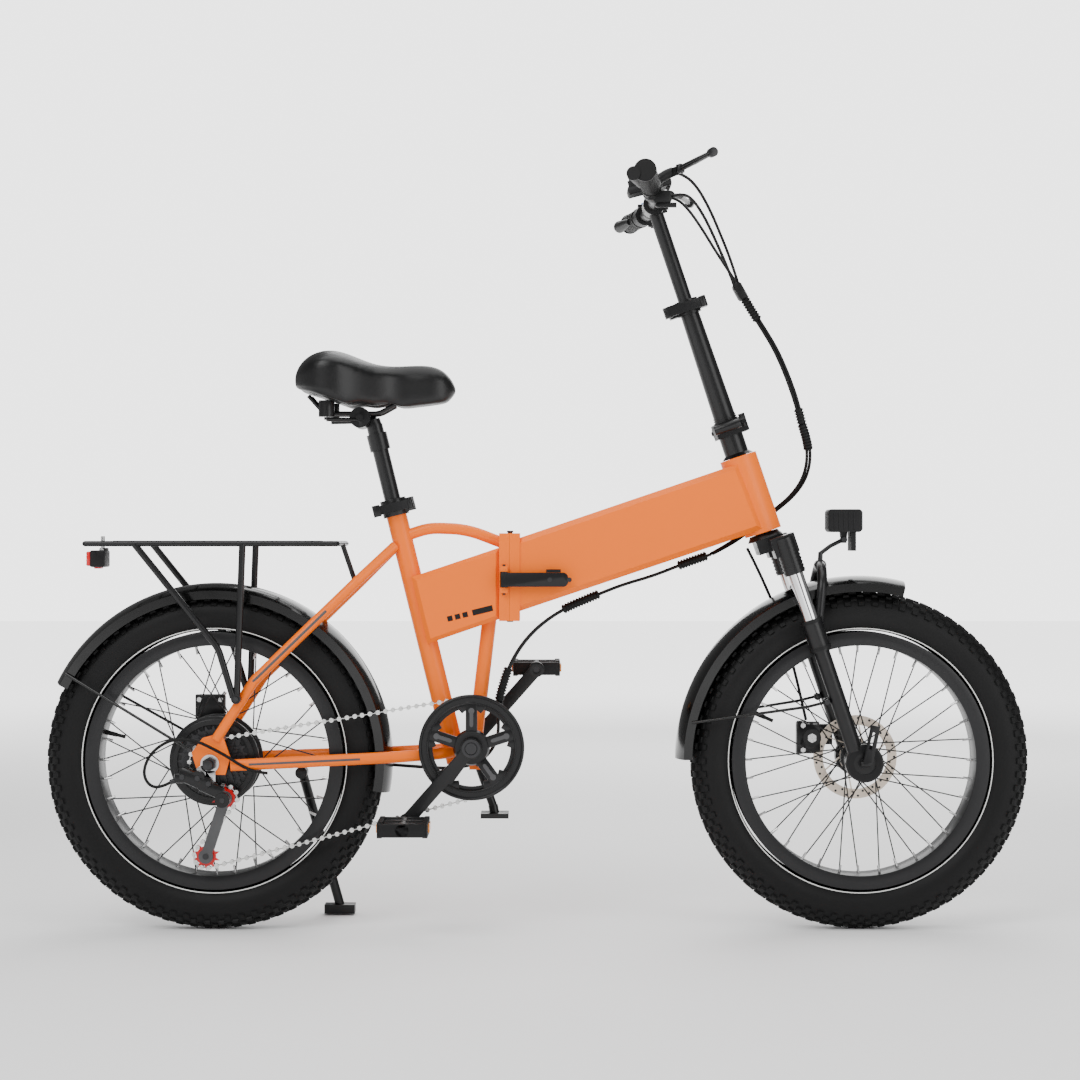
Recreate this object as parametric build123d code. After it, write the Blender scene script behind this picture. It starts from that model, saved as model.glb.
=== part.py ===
from build123d import *
import math
import os

# Folding electric bicycle. Millimetres, +X forward, +Y to the rider's left, +Z up.
# The origin is on the floor, half way between the two wheel axles.

# ---------------------------------------------------------------- driving sizes
AXLE_X = 533.0            # each axle ahead of or behind the origin
AXLE_Z = 280.0            # axle height, the same as the tyre's outer radius
FIT = 0.05                # radial running clearance of a pin or shaft
GAP = 0.3                 # clearance between pieces that pass or face each other
WALL = 2.5                # wall of the frame's box sections

# wheels
TYRE_R = 280.0
TYRE_SECTION_R = 38.0
TYRE_WALL = 5.0
RIM_R = 212.7
RIM_INNER_R = 190.0
RIM_HALF = 29.0
RIM_WELL = 9.0            # depth of the channel that the tyre's beads sit in
SPOKES = 36
SPOKE_R = 1.1
DISC_R = 70.0
DISC_THICK = 1.8

# rear hub motor
MOTOR_R = 68.0
MOTOR_HALF = 32.0
MOTOR_FLANGE_R = 74.0
MOTOR_FLANGE_Y = 25.0
REAR_AXLE_R = 7.0
REAR_DISC_Y = 48.0
DROPOUT_Y = 70.0          # inner face of each rear dropout
DROPOUT_THICK = 6.0

# front hub
FRONT_AXLE_R = 4.5
HUB_R = 15.0
HUB_FLANGE_R = 27.0
HUB_FLANGE_Y = 24.0
FRONT_DISC_Y = 42.0

# drivetrain
BB_X = -108.0
BB_Z = 305.0
CHAIN_Y = -54.0
PITCH = 12.7
RING_TEETH = 40
COG_TEETH = [28, 24, 22, 20, 18, 16, 14]
COG_STEP = 4.5
CHAIN_COG = 4             # the chain lies on the fifth cog
CHAIN_HALF = 3.6          # half the chain's height
CHAIN_WIDTH = 6.4
GUARD_R = 86.5
CRANK_LENGTH = 160.0
CRANK_ANGLE = 228.5       # right arm, anticlockwise from +X seen from the right side
SPINDLE_R = 8.5
BB_SHELL_R = 21.0
BB_HALF = 34.0
PEDAL_LENGTH = 82.0
PEDAL_WIDTH = 96.0
PEDAL_THICK = 26.0
PEDAL_INNER_Y = 92.0
PULLEY_R = 20.0
GUIDE_X = -511.0
GUIDE_Z = 222.0
TENSION_X = -542.0
TENSION_Z = 127.0

# frame
FRAME_HALF = 38.0         # half width of the box sections
SEAT_TUBE_R = 17.0
SEAT_TOP = (-237.0, 696.0)
SEAT_BOTTOM = (-134.0, 276.0)
SEAT_POST_R = 13.5
SEAT_POST_TOP = (-271.0, 834.6)
STAY_TALL = 9.5           # half height of a chain stay
STAY_SLIM = 7.0           # half width of a chain stay
HINGE_X = -46.3           # the plane where the two frame halves meet
HINGE_PLATE = 17.0
HINGE_LOW = 510.8
HINGE_HIGH = 655.2
HINGE_HALF = 40.0
HINGE_PIN_Y = 46.0
HINGE_PIN_R = 4.0
KNUCKLE_R = 8.0
KNUCKLE_LENGTH = 30.0

# steering
HEAD_TOP = (332.7, 781.9)
HEAD_LEAN = 18.6          # lean of the steering axis back from vertical, degrees
HEAD_LENGTH = 132.0
HEAD_R = 31.0
STEERER_R = 14.3
LEG_Y = 64.0
LEG_AHEAD = 22.0
STANCHION_R = 12.5
LOWER_R = 15.0
LOWER_TOP = -294.0        # along the steering axis, from the head tube's top
AXLE_DOWN = -540.0
AXLE_AHEAD = 30.0
POST_HINGE = 50.0
POST_PIN_Y = 38.0
POST_PIN_R = 3.5
POST_INNER_R = 12.0
POST_CLAMP = 262.0
BAR_UP = 440.0
BAR_R = 11.1
GRIP_R = 15.5
GRIP_START = 172.0
BAR_HALF = 290.0
BAR_BACK = 27.0
BAR_RISE = 11.0

# rack and fenders
RACK_TUBE_R = 5.5
RACK_Y = 85.0
RACK_Z = 638.0
RACK_REAR = -735.0
RACK_FRONT = -325.0
FENDER_HALF = 43.0
FENDER_THICK = 1.6
REAR_FENDER_R = 293.0
FRONT_FENDER_R = 305.0
STAY_R = 2.4

# cables
CABLE_R = 2.5
BUNDLE_R = 5.0
SLEEVE_R = 7.5

# ---------------------------------------------------------------- shared helpers
LEAN = math.radians(HEAD_LEAN)
UP = Vector(-math.sin(LEAN), 0, math.cos(LEAN))
AHEAD = Vector(math.cos(LEAN), 0, math.sin(LEAN))
LEFT = Vector(0, 1, 0)
BAR_CENTRE = Vector(HEAD_TOP[0], 0, HEAD_TOP[1]) + UP * BAR_UP
PIN_LINE = (HINGE_X, HINGE_PIN_Y)
COG_PITCH_R = COG_TEETH[CHAIN_COG] * PITCH / (2 * math.pi)
RING_PITCH_R = RING_TEETH * PITCH / (2 * math.pi)

os.makedirs("parts", exist_ok=True)


def save(name, *solids):
    """Write the named node; every entry is one separate piece."""
    flat = []
    for piece in solids:
        flat.extend(piece.solids())
    export_step(Compound(children=flat), "parts/" + name + ".step")


def steer(up, ahead=0.0, left=0.0):
    """A point given along the steering axis, ahead of it and to its left."""
    return Vector(HEAD_TOP[0], 0, HEAD_TOP[1]) + UP * up + AHEAD * ahead + LEFT * left


def rod(start, end, radius):
    """A round bar between two points."""
    a = Vector(*start)
    b = Vector(*end)
    plane = Plane(origin=a, z_dir=b - a)
    return plane * Cylinder(radius, (b - a).length, align=(Align.CENTER, Align.CENTER, Align.MIN))


def cone(start, end, start_radius, end_radius):
    """A tapered round bar between two points."""
    a = Vector(*start)
    b = Vector(*end)
    plane = Plane(origin=a, z_dir=b - a)
    return plane * Cone(start_radius, end_radius, (b - a).length, align=(Align.CENTER, Align.CENTER, Align.MIN))


def disc(x, z, y_low, y_high, radius):
    """A disc or cylinder whose axis runs across the bicycle."""
    return rod((x, y_low, z), (x, y_high, z), radius)


def ring(x, z, y_low, y_high, outer, inner):
    """A ring whose axis runs across the bicycle."""
    return disc(x, z, y_low, y_high, outer) - disc(x, z, y_low - 1, y_high + 1, inner)


def side_plate(points, y_low, y_high):
    """A flat outline in the side view, made as thick as the two Y values say."""
    plane = Plane(origin=(0, y_high, 0), x_dir=(1, 0, 0), z_dir=(0, -1, 0))
    outline = Polyline(*[(p[0], p[1]) for p in points], close=True)
    return extrude(plane * make_face(outline), y_high - y_low)


def block(x_low, x_high, y_low, y_high, z_low, z_high):
    """A box given by its limits."""
    size = Box(x_high - x_low, y_high - y_low, z_high - z_low)
    return Pos((x_low + x_high) / 2, (y_low + y_high) / 2, (z_low + z_high) / 2) * size


def steer_block(up_low, up_high, ahead_low, ahead_high, y_low, y_high):
    """A box square to the steering axis, given by its limits along, ahead of and across it."""
    centre = steer((up_low + up_high) / 2, (ahead_low + ahead_high) / 2, (y_low + y_high) / 2)
    plane = Plane(origin=centre, x_dir=AHEAD, z_dir=UP)
    return plane * Box(ahead_high - ahead_low, y_high - y_low, up_high - up_low)


def corner_radii(points, most=1e6):
    """Arc radii for a bent tube: 0.45 of the shorter run over the tangent of half the turn."""
    radii = []
    for before, here, after in zip(points, points[1:], points[2:]):
        run_in = Vector(*here) - Vector(*before)
        run_out = Vector(*after) - Vector(*here)
        turn = math.radians(run_in.get_angle(run_out))
        radius = 0.45 * min(run_in.length, run_out.length) / math.tan(turn / 2)
        radii.append(min(radius, most))
    return radii


def bent_tube(points, radius, most=1e6):
    """Straight runs joined by tangent arcs, as a round solid."""
    if len(points) == 2:
        return rod(points[0], points[1], radius)
    path = FilletPolyline(*points, radius=corner_radii(points, most))
    start = Plane(origin=path @ 0, z_dir=path % 0)
    return sweep(start * Circle(radius), path=path)


def cord(name, points, radius):
    """A cord's tube, with its bend radii printed and its volume compared with its length."""
    radii = corner_radii(points)
    path = FilletPolyline(*points, radius=radii)
    solid = sweep(Plane(origin=path @ 0, z_dir=path % 0) * Circle(radius), path=path)
    share = solid.volume / (math.pi * radius**2 * path.length)
    print(name, "length", round(path.length), "least radius", round(min(radii), 1), "volume share", round(share, 4))
    return solid


def flat_stay(points):
    """A chain stay: a bent oval tube, slimmer across the bicycle than it is tall."""
    path = FilletPolyline(*points, radius=corner_radii(points, 80))
    start = Plane(origin=path @ 0, x_dir=(0, 0, 1), z_dir=path % 0)
    return sweep(start * Ellipse(STAY_TALL, STAY_SLIM), path=path)


# ---------------------------------------------------------------- wheels
def tyre(axle_x):
    """A fat tyre, open towards the rim."""
    axis = Plane(origin=(axle_x, 0, AXLE_Z), z_dir=(0, 1, 0))
    centre_r = TYRE_R - TYRE_SECTION_R
    outer = axis * Torus(centre_r, TYRE_SECTION_R)
    inner = axis * Torus(centre_r, TYRE_SECTION_R - TYRE_WALL)
    casing = outer - inner - disc(axle_x, AXLE_Z, -60, 60, RIM_R + GAP)
    bead_r = RIM_R - RIM_WELL + GAP
    bead_edge = RIM_HALF - WALL - GAP
    casing += ring(axle_x, AXLE_Z, bead_edge - 8, bead_edge, RIM_R + 3, bead_r)
    casing += ring(axle_x, AXLE_Z, -bead_edge, -bead_edge + 8, RIM_R + 3, bead_r)
    return casing


def rim(axle_x):
    """A box rim with a well between its two flanges."""
    body = ring(axle_x, AXLE_Z, -RIM_HALF, RIM_HALF, RIM_R, RIM_INNER_R)
    bed = ring(axle_x, AXLE_Z, -RIM_HALF + WALL, RIM_HALF - WALL, RIM_R + 1, RIM_R - RIM_WELL)
    return body - bed


def spokes(axle_x, flange_r, flange_y):
    """Crossed spokes, half of them to each flange, leaning one way and the other in turn."""
    rods = []
    swing = 46.0 if flange_r < 40 else 30.0
    for number in range(SPOKES):
        side = 1 if number % 2 else -1
        lean = 1 if number % 4 < 2 else -1
        at_rim = 360.0 / SPOKES * number
        at_hub = math.radians(at_rim + lean * swing)
        at_rim = math.radians(at_rim)
        hub_y = side * (flange_y + lean * 2.4)
        rim_y = side * (8 + lean * 2.4)
        hub_reach = flange_r + 1.6
        rim_reach = RIM_INNER_R - 0.6
        start = (axle_x + hub_reach * math.cos(at_hub), hub_y, AXLE_Z + hub_reach * math.sin(at_hub))
        end = (axle_x + rim_reach * math.cos(at_rim), rim_y, AXLE_Z + rim_reach * math.sin(at_rim))
        rods.append(rod(start, end, SPOKE_R))
    return rods


def brake_disc(axle_x, disc_y, bore):
    """A brake disc with a slotted track and six arms."""
    low = disc_y - DISC_THICK / 2
    high = disc_y + DISC_THICK / 2
    plate = ring(axle_x, AXLE_Z, low, high, DISC_R, bore)
    windows = 6
    for number in range(windows):
        angle = math.radians(360 / windows * number)
        x = axle_x + 40 * math.cos(angle)
        z = AXLE_Z + 40 * math.sin(angle)
        plate -= disc(x, z, low - 1, high + 1, 13.0)
    return plate


save("rear_tyre", tyre(-AXLE_X))
save("front_tyre", tyre(AXLE_X))
save("rear_rim", rim(-AXLE_X))
save("front_rim", rim(AXLE_X))
save("rear_spokes", *spokes(-AXLE_X, MOTOR_FLANGE_R, MOTOR_FLANGE_Y))
save("front_spokes", *spokes(AXLE_X, HUB_FLANGE_R, HUB_FLANGE_Y))

# Rear hub motor: a hollow shell that turns about a fixed axle, which carries the windings.
shell = disc(-AXLE_X, AXLE_Z, -MOTOR_HALF, MOTOR_HALF, MOTOR_R)
shell += disc(-AXLE_X, AXLE_Z, MOTOR_HALF - 1, REAR_DISC_Y - DISC_THICK / 2 - 0.1, 24)
for flange_side in (-1, 1):
    y = flange_side * MOTOR_FLANGE_Y
    shell += disc(-AXLE_X, AXLE_Z, y - 3.5, y + 3.5, MOTOR_FLANGE_R)
shell -= disc(-AXLE_X, AXLE_Z, -MOTOR_HALF + 8, MOTOR_HALF - 8, MOTOR_R - 6)
shell -= disc(-AXLE_X, AXLE_Z, -90, 90, REAR_AXLE_R + FIT)
save("rear_hub_motor", shell)
save("rear_brake_disc", brake_disc(-AXLE_X, REAR_DISC_Y, 22))

rear_axle = disc(-AXLE_X, AXLE_Z, -98, 98, REAR_AXLE_R)
rear_axle += disc(-AXLE_X, AXLE_Z, -MOTOR_HALF + 11, MOTOR_HALF - 11, MOTOR_R - 9)
nuts = []
for nut_side in (-1, 1):
    inner_y = nut_side * (DROPOUT_Y + DROPOUT_THICK + 3.6)
    outer_y = inner_y + nut_side * 11
    plane = Plane(origin=(-AXLE_X, min(inner_y, outer_y), AXLE_Z), z_dir=(0, 1, 0))
    nut = extrude(plane * RegularPolygon(11.5, 6), 11) - disc(-AXLE_X, AXLE_Z, -100, 100, REAR_AXLE_R + FIT)
    nuts.append(nut)
save("rear_axle", rear_axle, *nuts)

# Seven-cog freewheel beside the motor.
cluster = disc(-AXLE_X, AXLE_Z, CHAIN_Y - 12, -MOTOR_HALF - 1, 19)
for number, teeth in enumerate(COG_TEETH):
    y = CHAIN_Y + (CHAIN_COG - number) * COG_STEP
    cluster += disc(-AXLE_X, AXLE_Z, y - 0.9, y + 0.9, teeth * PITCH / (2 * math.pi) - CHAIN_HALF - GAP)
cluster -= disc(-AXLE_X, AXLE_Z, -90, 90, REAR_AXLE_R + FIT)
save("rear_freewheel", cluster)

# Front hub on its fixed axle.
HUB_END = LEG_Y - 8
front_hub = disc(AXLE_X, AXLE_Z, -HUB_END + GAP, HUB_END - GAP, 9)
front_hub += disc(AXLE_X, AXLE_Z, -HUB_FLANGE_Y - 3, FRONT_DISC_Y - DISC_THICK / 2 - 0.1, HUB_R)
for flange_side in (-1, 1):
    y = flange_side * HUB_FLANGE_Y
    front_hub += disc(AXLE_X, AXLE_Z, y - 3.5, y + 3.5, HUB_FLANGE_R)
front_hub += disc(AXLE_X, AXLE_Z, 36, FRONT_DISC_Y - DISC_THICK / 2 - 0.1, 22)
front_hub -= disc(AXLE_X, AXLE_Z, -90, 90, FRONT_AXLE_R + FIT)
save("front_hub", front_hub)
save("front_brake_disc", brake_disc(AXLE_X, FRONT_DISC_Y, 16))

# ---------------------------------------------------------------- rear frame
seat_top = Vector(SEAT_TOP[0], 0, SEAT_TOP[1])
seat_bottom = Vector(SEAT_BOTTOM[0], 0, SEAT_BOTTOM[1])
seat_axis = (seat_top - seat_bottom).normalized()
seat_ahead = Vector(seat_axis.Z, 0, -seat_axis.X)


def along_seat(distance, ahead=0.0, left=0.0):
    """A point along the seat tube above its top end, ahead of its axis and to its left."""
    return seat_top + seat_axis * distance + seat_ahead * ahead + LEFT * left


box_outline = [(-208, 583), (-62, 632), (-62, 514), (-181, 473)]
box_section = side_plate(box_outline, -FRAME_HALF, FRAME_HALF)
box_section = chamfer(box_section.faces().filter_by(Axis.Y).edges(), 7)
cavity = side_plate([(-176, 578), (-66, 616), (-66, 526), (-152, 494)], -FRAME_HALF + 6, FRAME_HALF - 6)

rear_frame = rod(seat_bottom, seat_top, SEAT_TUBE_R)
rear_frame += box_section
rear_frame += block(HINGE_X - HINGE_PLATE, HINGE_X - GAP / 2, -HINGE_HALF, HINGE_HALF, HINGE_LOW, HINGE_HIGH)
rear_frame += disc(BB_X, BB_Z, -BB_HALF, BB_HALF, BB_SHELL_R)
# arched upper tube from the seat tube to the hinge plate
rear_frame += bent_tube([(-216, 0, 652), (-180, 0, 664), (-118, 0, 662), (-55, 0, 638)], 9.5)
# strut from the box section down to the bottom bracket
rear_frame += rod((-78, 0, 530), (-103, 0, 318), 12)
for side in (-1, 1):
    stay_top = (-236, side * 14, 634)
    stay_shoulder = (-300, side * 55, 572)
    stay_knee = (-462, side * 64, 415)
    stay_end = (-524, side * 74, 318)
    rear_frame += bent_tube([stay_top, stay_shoulder, stay_knee, stay_end], 8.5, 60)
    rear_frame += flat_stay([(-126, side * 26, 297), (-160, side * 38.5, 293),
                             (-236, side * 50.2, 288), (-500, side * 73, 277)])
    inner = side * DROPOUT_Y
    outer = side * (DROPOUT_Y + DROPOUT_THICK)
    drop_outline = [(-563, 298), (-545, 322), (-514, 330), (-500, 290), (-508, 262), (-552, 262)]
    rear_frame += side_plate(drop_outline, min(inner, outer), max(inner, outer))
    # boss for the rack's foot
    rear_frame += disc(-489, 386, *sorted((side * 60, side * 78)), 7)
# bridge between the seat stays, ahead of the tyre
BRIDGE_Z = 572.0
rear_frame += rod((-302, -53, BRIDGE_Z), (-302, 53, BRIDGE_Z), 6)
# kickstand mount on the left chain stay
rear_frame += block(-418, -382, 62, 84, 260.3, 285)
# ears for the small stand under the bottom bracket
rear_frame += block(BB_X - 5, BB_X + 17, -14, -9, 264, 290)
rear_frame += block(BB_X - 5, BB_X + 17, 9, 14, 264, 290)
# hinge knuckles at the two ends of the pin
for low, high in ((HINGE_LOW, HINGE_LOW + KNUCKLE_LENGTH), (HINGE_HIGH - KNUCKLE_LENGTH, HINGE_HIGH)):
    rear_frame += rod((*PIN_LINE, low), (*PIN_LINE, high), KNUCKLE_R)
    rear_frame += block(HINGE_X - HINGE_PLATE, HINGE_X - GAP / 2, 30, HINGE_PIN_Y, low, high)
rear_frame -= rod(
    (*PIN_LINE, HINGE_LOW + KNUCKLE_LENGTH), (*PIN_LINE, HINGE_HIGH - KNUCKLE_LENGTH), KNUCKLE_R + 2 * GAP
)
rear_frame -= rod((*PIN_LINE, HINGE_LOW - 5), (*PIN_LINE, HINGE_HIGH + 5), HINGE_PIN_R + FIT)
# ears for the latch lever on the right face of the hinge
LATCH_X = -55.0
LATCH_Z = 579.0
for low, high in ((LATCH_Z - 22, LATCH_Z - 13), (LATCH_Z + 13, LATCH_Z + 22)):
    rear_frame += block(LATCH_X - 6, LATCH_X + 6, -50, -39, low, high)
rear_frame -= rod((LATCH_X, -47, LATCH_Z - 30), (LATCH_X, -47, LATCH_Z + 30), 2.5 + FIT)
# hollow of the box section, and bores for seat post, bearings and axle
rear_frame -= cavity
SEAT_BORE = 300.0
rear_frame -= rod(along_seat(-SEAT_BORE), along_seat(5), SEAT_POST_R + FIT)
rear_frame -= disc(BB_X, BB_Z, -60, 60, 16.5)
rear_frame -= disc(-AXLE_X, AXLE_Z, -100, 100, REAR_AXLE_R + FIT)
STAND_X = BB_X + 9
STAND_Z = 273.0
rear_frame -= disc(STAND_X, STAND_Z, -20, 20, 3.5)
save("rear_frame", rear_frame)

save("frame_hinge_pin", rod((*PIN_LINE, HINGE_LOW - 3), (*PIN_LINE, HINGE_HIGH + 3), HINGE_PIN_R))

# Bottom bracket: two bearing cups that seat in the shell and carry the spindle.
cups = []
for side in (-1, 1):
    lip_low, lip_high = sorted((side * (BB_HALF + 0.1), side * (BB_HALF + 3)))
    seat_low, seat_high = sorted((side * (BB_HALF - 18), side * (BB_HALF + 0.2)))
    cup = disc(BB_X, BB_Z, seat_low, seat_high, 16.4) + disc(BB_X, BB_Z, lip_low, lip_high, 20)
    cups.append(cup - disc(BB_X, BB_Z, -60, 60, SPINDLE_R + FIT))
save("bottom_bracket", *cups)

# ---------------------------------------------------------------- seat
collar = rod(along_seat(-12), along_seat(16), 21.5)
collar += Plane(origin=along_seat(2, 25), x_dir=seat_ahead, z_dir=seat_axis) * Box(18, 26, 22)
collar -= rod(along_seat(-13), along_seat(0.1), SEAT_TUBE_R + FIT)
collar -= rod(along_seat(-20), along_seat(20), SEAT_POST_R + GAP)
collar -= Plane(origin=along_seat(2, 26), x_dir=seat_ahead, z_dir=seat_axis) * Box(24, 3, 40)
collar += rod(along_seat(2, 28, -24 + GAP), along_seat(2, 28, -12), 4.5)
save("seat_collar", collar)

lever_plane = Plane(origin=along_seat(2, 0, -30), x_dir=seat_ahead, z_dir=seat_axis)
seat_lever = lever_plane * Pos(3, 1, 0) * Box(56, 7, 15)
seat_lever += lever_plane * Pos(-28, -4, 0) * Box(12, 12, 19)
seat_lever += rod(along_seat(-7, 28, -29), along_seat(11, 28, -29), 5)
save("seat_lever", seat_lever)

post_top = Vector(SEAT_POST_TOP[0], 0, SEAT_POST_TOP[1])
save("seatpost", rod(along_seat(-120), post_top, SEAT_POST_R))

# Saddle: the side outline and the top outline cut from one block.
saddle_side = Plane(origin=(0, 120, 0), x_dir=(1, 0, 0), z_dir=(0, -1, 0))
saddle_line = Spline((-397, 893), (-386, 940), (-346, 957), (-262, 934), (-165, 929), (-133, 890))
saddle_line += Polyline((-133, 890), (-150, 871), (-222, 862), (-248, 877), (-290, 877), (-310, 866), (-397, 893))
saddle_body = extrude(saddle_side * make_face(saddle_line), 240)
half_top = Spline((-398, 0), (-392, 62), (-352, 98), (-296, 82), (-232, 38), (-160, 30), (-132, 0))
top_outline = make_face(half_top + Line((-132, 0), (-398, 0)))
top_outline = top_outline + mirror(top_outline, about=Plane.XZ)
saddle = saddle_body & (Pos(0, 0, 840) * extrude(top_outline, 140))
save("saddle", saddle)

# Saddle rails, the clamp on top of the post and two elastomer springs.
CLAMP_X = -293.0
CLAMP_Z = 846.0
rails = []
for side in (-1, 1):
    y = side * 24
    rails.append(bent_tube([(-378, y, 882), (-352, y, 853), (-262, y, 853), (-236, y, 867.3)], 3.5, 30))
clamp = disc(CLAMP_X, CLAMP_Z, -32, 32, 17)
clamp += rod(along_seat(100), along_seat(128), 17)
clamp -= rod(along_seat(90), post_top + seat_axis * GAP, SEAT_POST_R + FIT)
for side in (-1, 1):
    clamp -= rod((-420, side * 24, 853), (-240, side * 24, 853), 3.5 + FIT)
springs = []
for side in (-1, 1):
    clamp += rod((CLAMP_X, side * 28, CLAMP_Z - 4), (-346, side * 46, CLAMP_Z - 4), 3.5)
    springs.append(rod((-346, side * 46, CLAMP_Z), (-346, side * 46, 872.8), 13))
save("saddle_rails", *rails, clamp, *springs)

# ---------------------------------------------------------------- crank, ring and pedals
crank_turn = math.radians(CRANK_ANGLE)
arm_dir = Vector(math.cos(crank_turn), 0, math.sin(crank_turn))


def crank_arm(side):
    """One crank arm, with its boss and the eye for the pedal axle."""
    way = arm_dir if side < 0 else arm_dir * -1
    low, high = sorted((side * 68, side * 82))
    hub = Vector(BB_X, 0, BB_Z)
    eye = hub + way * CRANK_LENGTH
    arm = disc(hub.X, hub.Z, low, high, 17) + disc(eye.X, eye.Z, low, high, 13)
    middle = hub + way * (CRANK_LENGTH / 2)
    plane = Plane(origin=(middle.X, (low + high) / 2, middle.Z), x_dir=way, z_dir=(0, 1, 0))
    arm += plane * Box(CRANK_LENGTH, 21, high - low - 2)
    arm -= disc(hub.X, hub.Z, -90, 90, SPINDLE_R + FIT)
    arm -= disc(eye.X, eye.Z, low - 1, high + 1, 5 + FIT)
    return arm


def pedal(side):
    """A block pedal on its own short axle."""
    way = arm_dir if side < 0 else arm_dir * -1
    eye = Vector(BB_X, 0, BB_Z) + way * CRANK_LENGTH
    y_in = side * PEDAL_INNER_Y
    y_out = side * (PEDAL_INNER_Y + PEDAL_WIDTH)
    low, high = sorted((y_in, y_out))
    half = PEDAL_LENGTH / 2
    body = block(eye.X - half, eye.X + half, low, high, eye.Z - PEDAL_THICK / 2, eye.Z + PEDAL_THICK / 2)
    body = fillet(body.edges().filter_by(Axis.Y), 6)
    for offset in (-24, 24):
        hole = block(eye.X + offset - 11, eye.X + offset + 11, low + 12, high - 12, eye.Z - 30, eye.Z + 30)
        body -= hole
    start, end = sorted((side * 68.5, side * (PEDAL_INNER_Y + 8)))
    body += disc(eye.X, eye.Z, start, end, 5)
    lamps = []
    for end_x in (eye.X - half - 3, eye.X + half + 0.2):
        lamps.append(block(end_x, end_x + 2.8, low + 26, high - 26, eye.Z - 7, eye.Z + 7))
    return [body, *lamps]


spindle = disc(BB_X, BB_Z, -81, 81, SPINDLE_R)
save("crankset", spindle, crank_arm(-1), crank_arm(1))
save("right_pedal", *pedal(-1))
save("left_pedal", *pedal(1))

# Chainring, and the guard on its outer side with four round windows.
chainring = ring(BB_X, BB_Z, CHAIN_Y - 1.5, CHAIN_Y + 1.5, RING_PITCH_R - CHAIN_HALF - GAP, 10)
guard = ring(BB_X, BB_Z, CHAIN_Y - 9, CHAIN_Y - 4.2, GUARD_R, 10)
guard += ring(BB_X, BB_Z, CHAIN_Y - 4.3, CHAIN_Y - 1.7, 30, 10)
for number in range(4):
    angle = math.radians(45 + 90 * number)
    x = BB_X + 50 * math.cos(angle)
    z = BB_Z + 50 * math.sin(angle)
    chainring -= disc(x, z, -70, -40, 21)
    guard -= disc(x, z, -70, -40, 22)
ring_spider = ring(BB_X, BB_Z, -67.8, CHAIN_Y - 9.2, 16, SPINDLE_R + GAP)
save("chainring", chainring, guard, ring_spider)

# Chain: a closed loop over cog, ring and both derailleur pulleys.
wheels_in_order = [
    (-AXLE_X, AXLE_Z, COG_PITCH_R, 1),
    (BB_X, BB_Z, RING_PITCH_R, 1),
    (TENSION_X, TENSION_Z, PULLEY_R, 1),
    (GUIDE_X, GUIDE_Z, PULLEY_R, -1),
]


def chain_outline(offset):
    """The chain's edge, a set distance outside (or inside) the pitch line."""
    touches = []
    count = len(wheels_in_order)
    for index in range(count):
        ax, az, ar, a_way = wheels_in_order[index]
        bx, bz, br, b_way = wheels_in_order[(index + 1) % count]
        a_signed = a_way * ar + offset
        b_signed = b_way * br + offset
        dx = bx - ax
        dz = bz - az
        span = math.hypot(dx, dz)
        share = (a_signed - b_signed) / span
        rise = math.sqrt(1 - share**2)
        nx = dx / span * share - dz / span * rise
        nz = dz / span * share + dx / span * rise
        touches.append(((ax + a_signed * nx, az + a_signed * nz), (bx + b_signed * nx, bz + b_signed * nz)))
    edges = []
    for index in range(count):
        leave, arrive = touches[index]
        edges.append(Line(leave, arrive))
        cx, cz, radius, way = wheels_in_order[(index + 1) % count]
        next_leave = touches[(index + 1) % count][0]
        start = math.atan2(arrive[1] - cz, arrive[0] - cx)
        stop = math.atan2(next_leave[1] - cz, next_leave[0] - cx)
        sweep_angle = (start - stop) % (2 * math.pi) if way > 0 else -((stop - start) % (2 * math.pi))
        middle = start - sweep_angle / 2
        reach = abs(way * radius + offset)
        edges.append(ThreePointArc(arrive, (cx + reach * math.cos(middle), cz + reach * math.sin(middle)), next_leave))
    return make_face(edges)


chain_plane = Plane(origin=(0, CHAIN_Y + CHAIN_WIDTH / 2, 0), x_dir=(1, 0, 0), z_dir=(0, -1, 0))
chain_face = chain_outline(CHAIN_HALF) - chain_outline(-CHAIN_HALF)
save("chain", extrude(chain_plane * chain_face, CHAIN_WIDTH))

# ---------------------------------------------------------------- derailleur
hanger = side_plate([(-545, 292), (-520, 292), (-520, 268), (-540, 252), (-562, 252), (-562, 272)], -79.2, -76.1)
hanger -= disc(-AXLE_X, AXLE_Z, -100, -60, REAR_AXLE_R + FIT)
changer = side_plate([(-590, 256), (-580, 268), (-548, 270), (-520, 246), (-504, 236), (-504, 220), (-520, 222)],
                     -92, -79.5)
changer += disc(GUIDE_X, GUIDE_Z, -84, -64, 9)
changer -= disc(GUIDE_X, GUIDE_Z, -90, -60, 4 + FIT)
save("derailleur_body", hanger, changer)


def cage_plate(y_low, y_high):
    """One side of the derailleur cage, with an eye at each pulley."""
    dx = TENSION_X - GUIDE_X
    dz = TENSION_Z - GUIDE_Z
    length = math.hypot(dx, dz)
    plane = Plane(
        origin=((GUIDE_X + TENSION_X) / 2, (y_low + y_high) / 2, (GUIDE_Z + TENSION_Z) / 2),
        x_dir=(dx, 0, dz),
        z_dir=(0, 1, 0),
    )
    plate = plane * Box(length, 17, y_high - y_low)
    plate += disc(GUIDE_X, GUIDE_Z, y_low, y_high, 12)
    plate += disc(TENSION_X, TENSION_Z, y_low, y_high, 12)
    return plate


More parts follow.
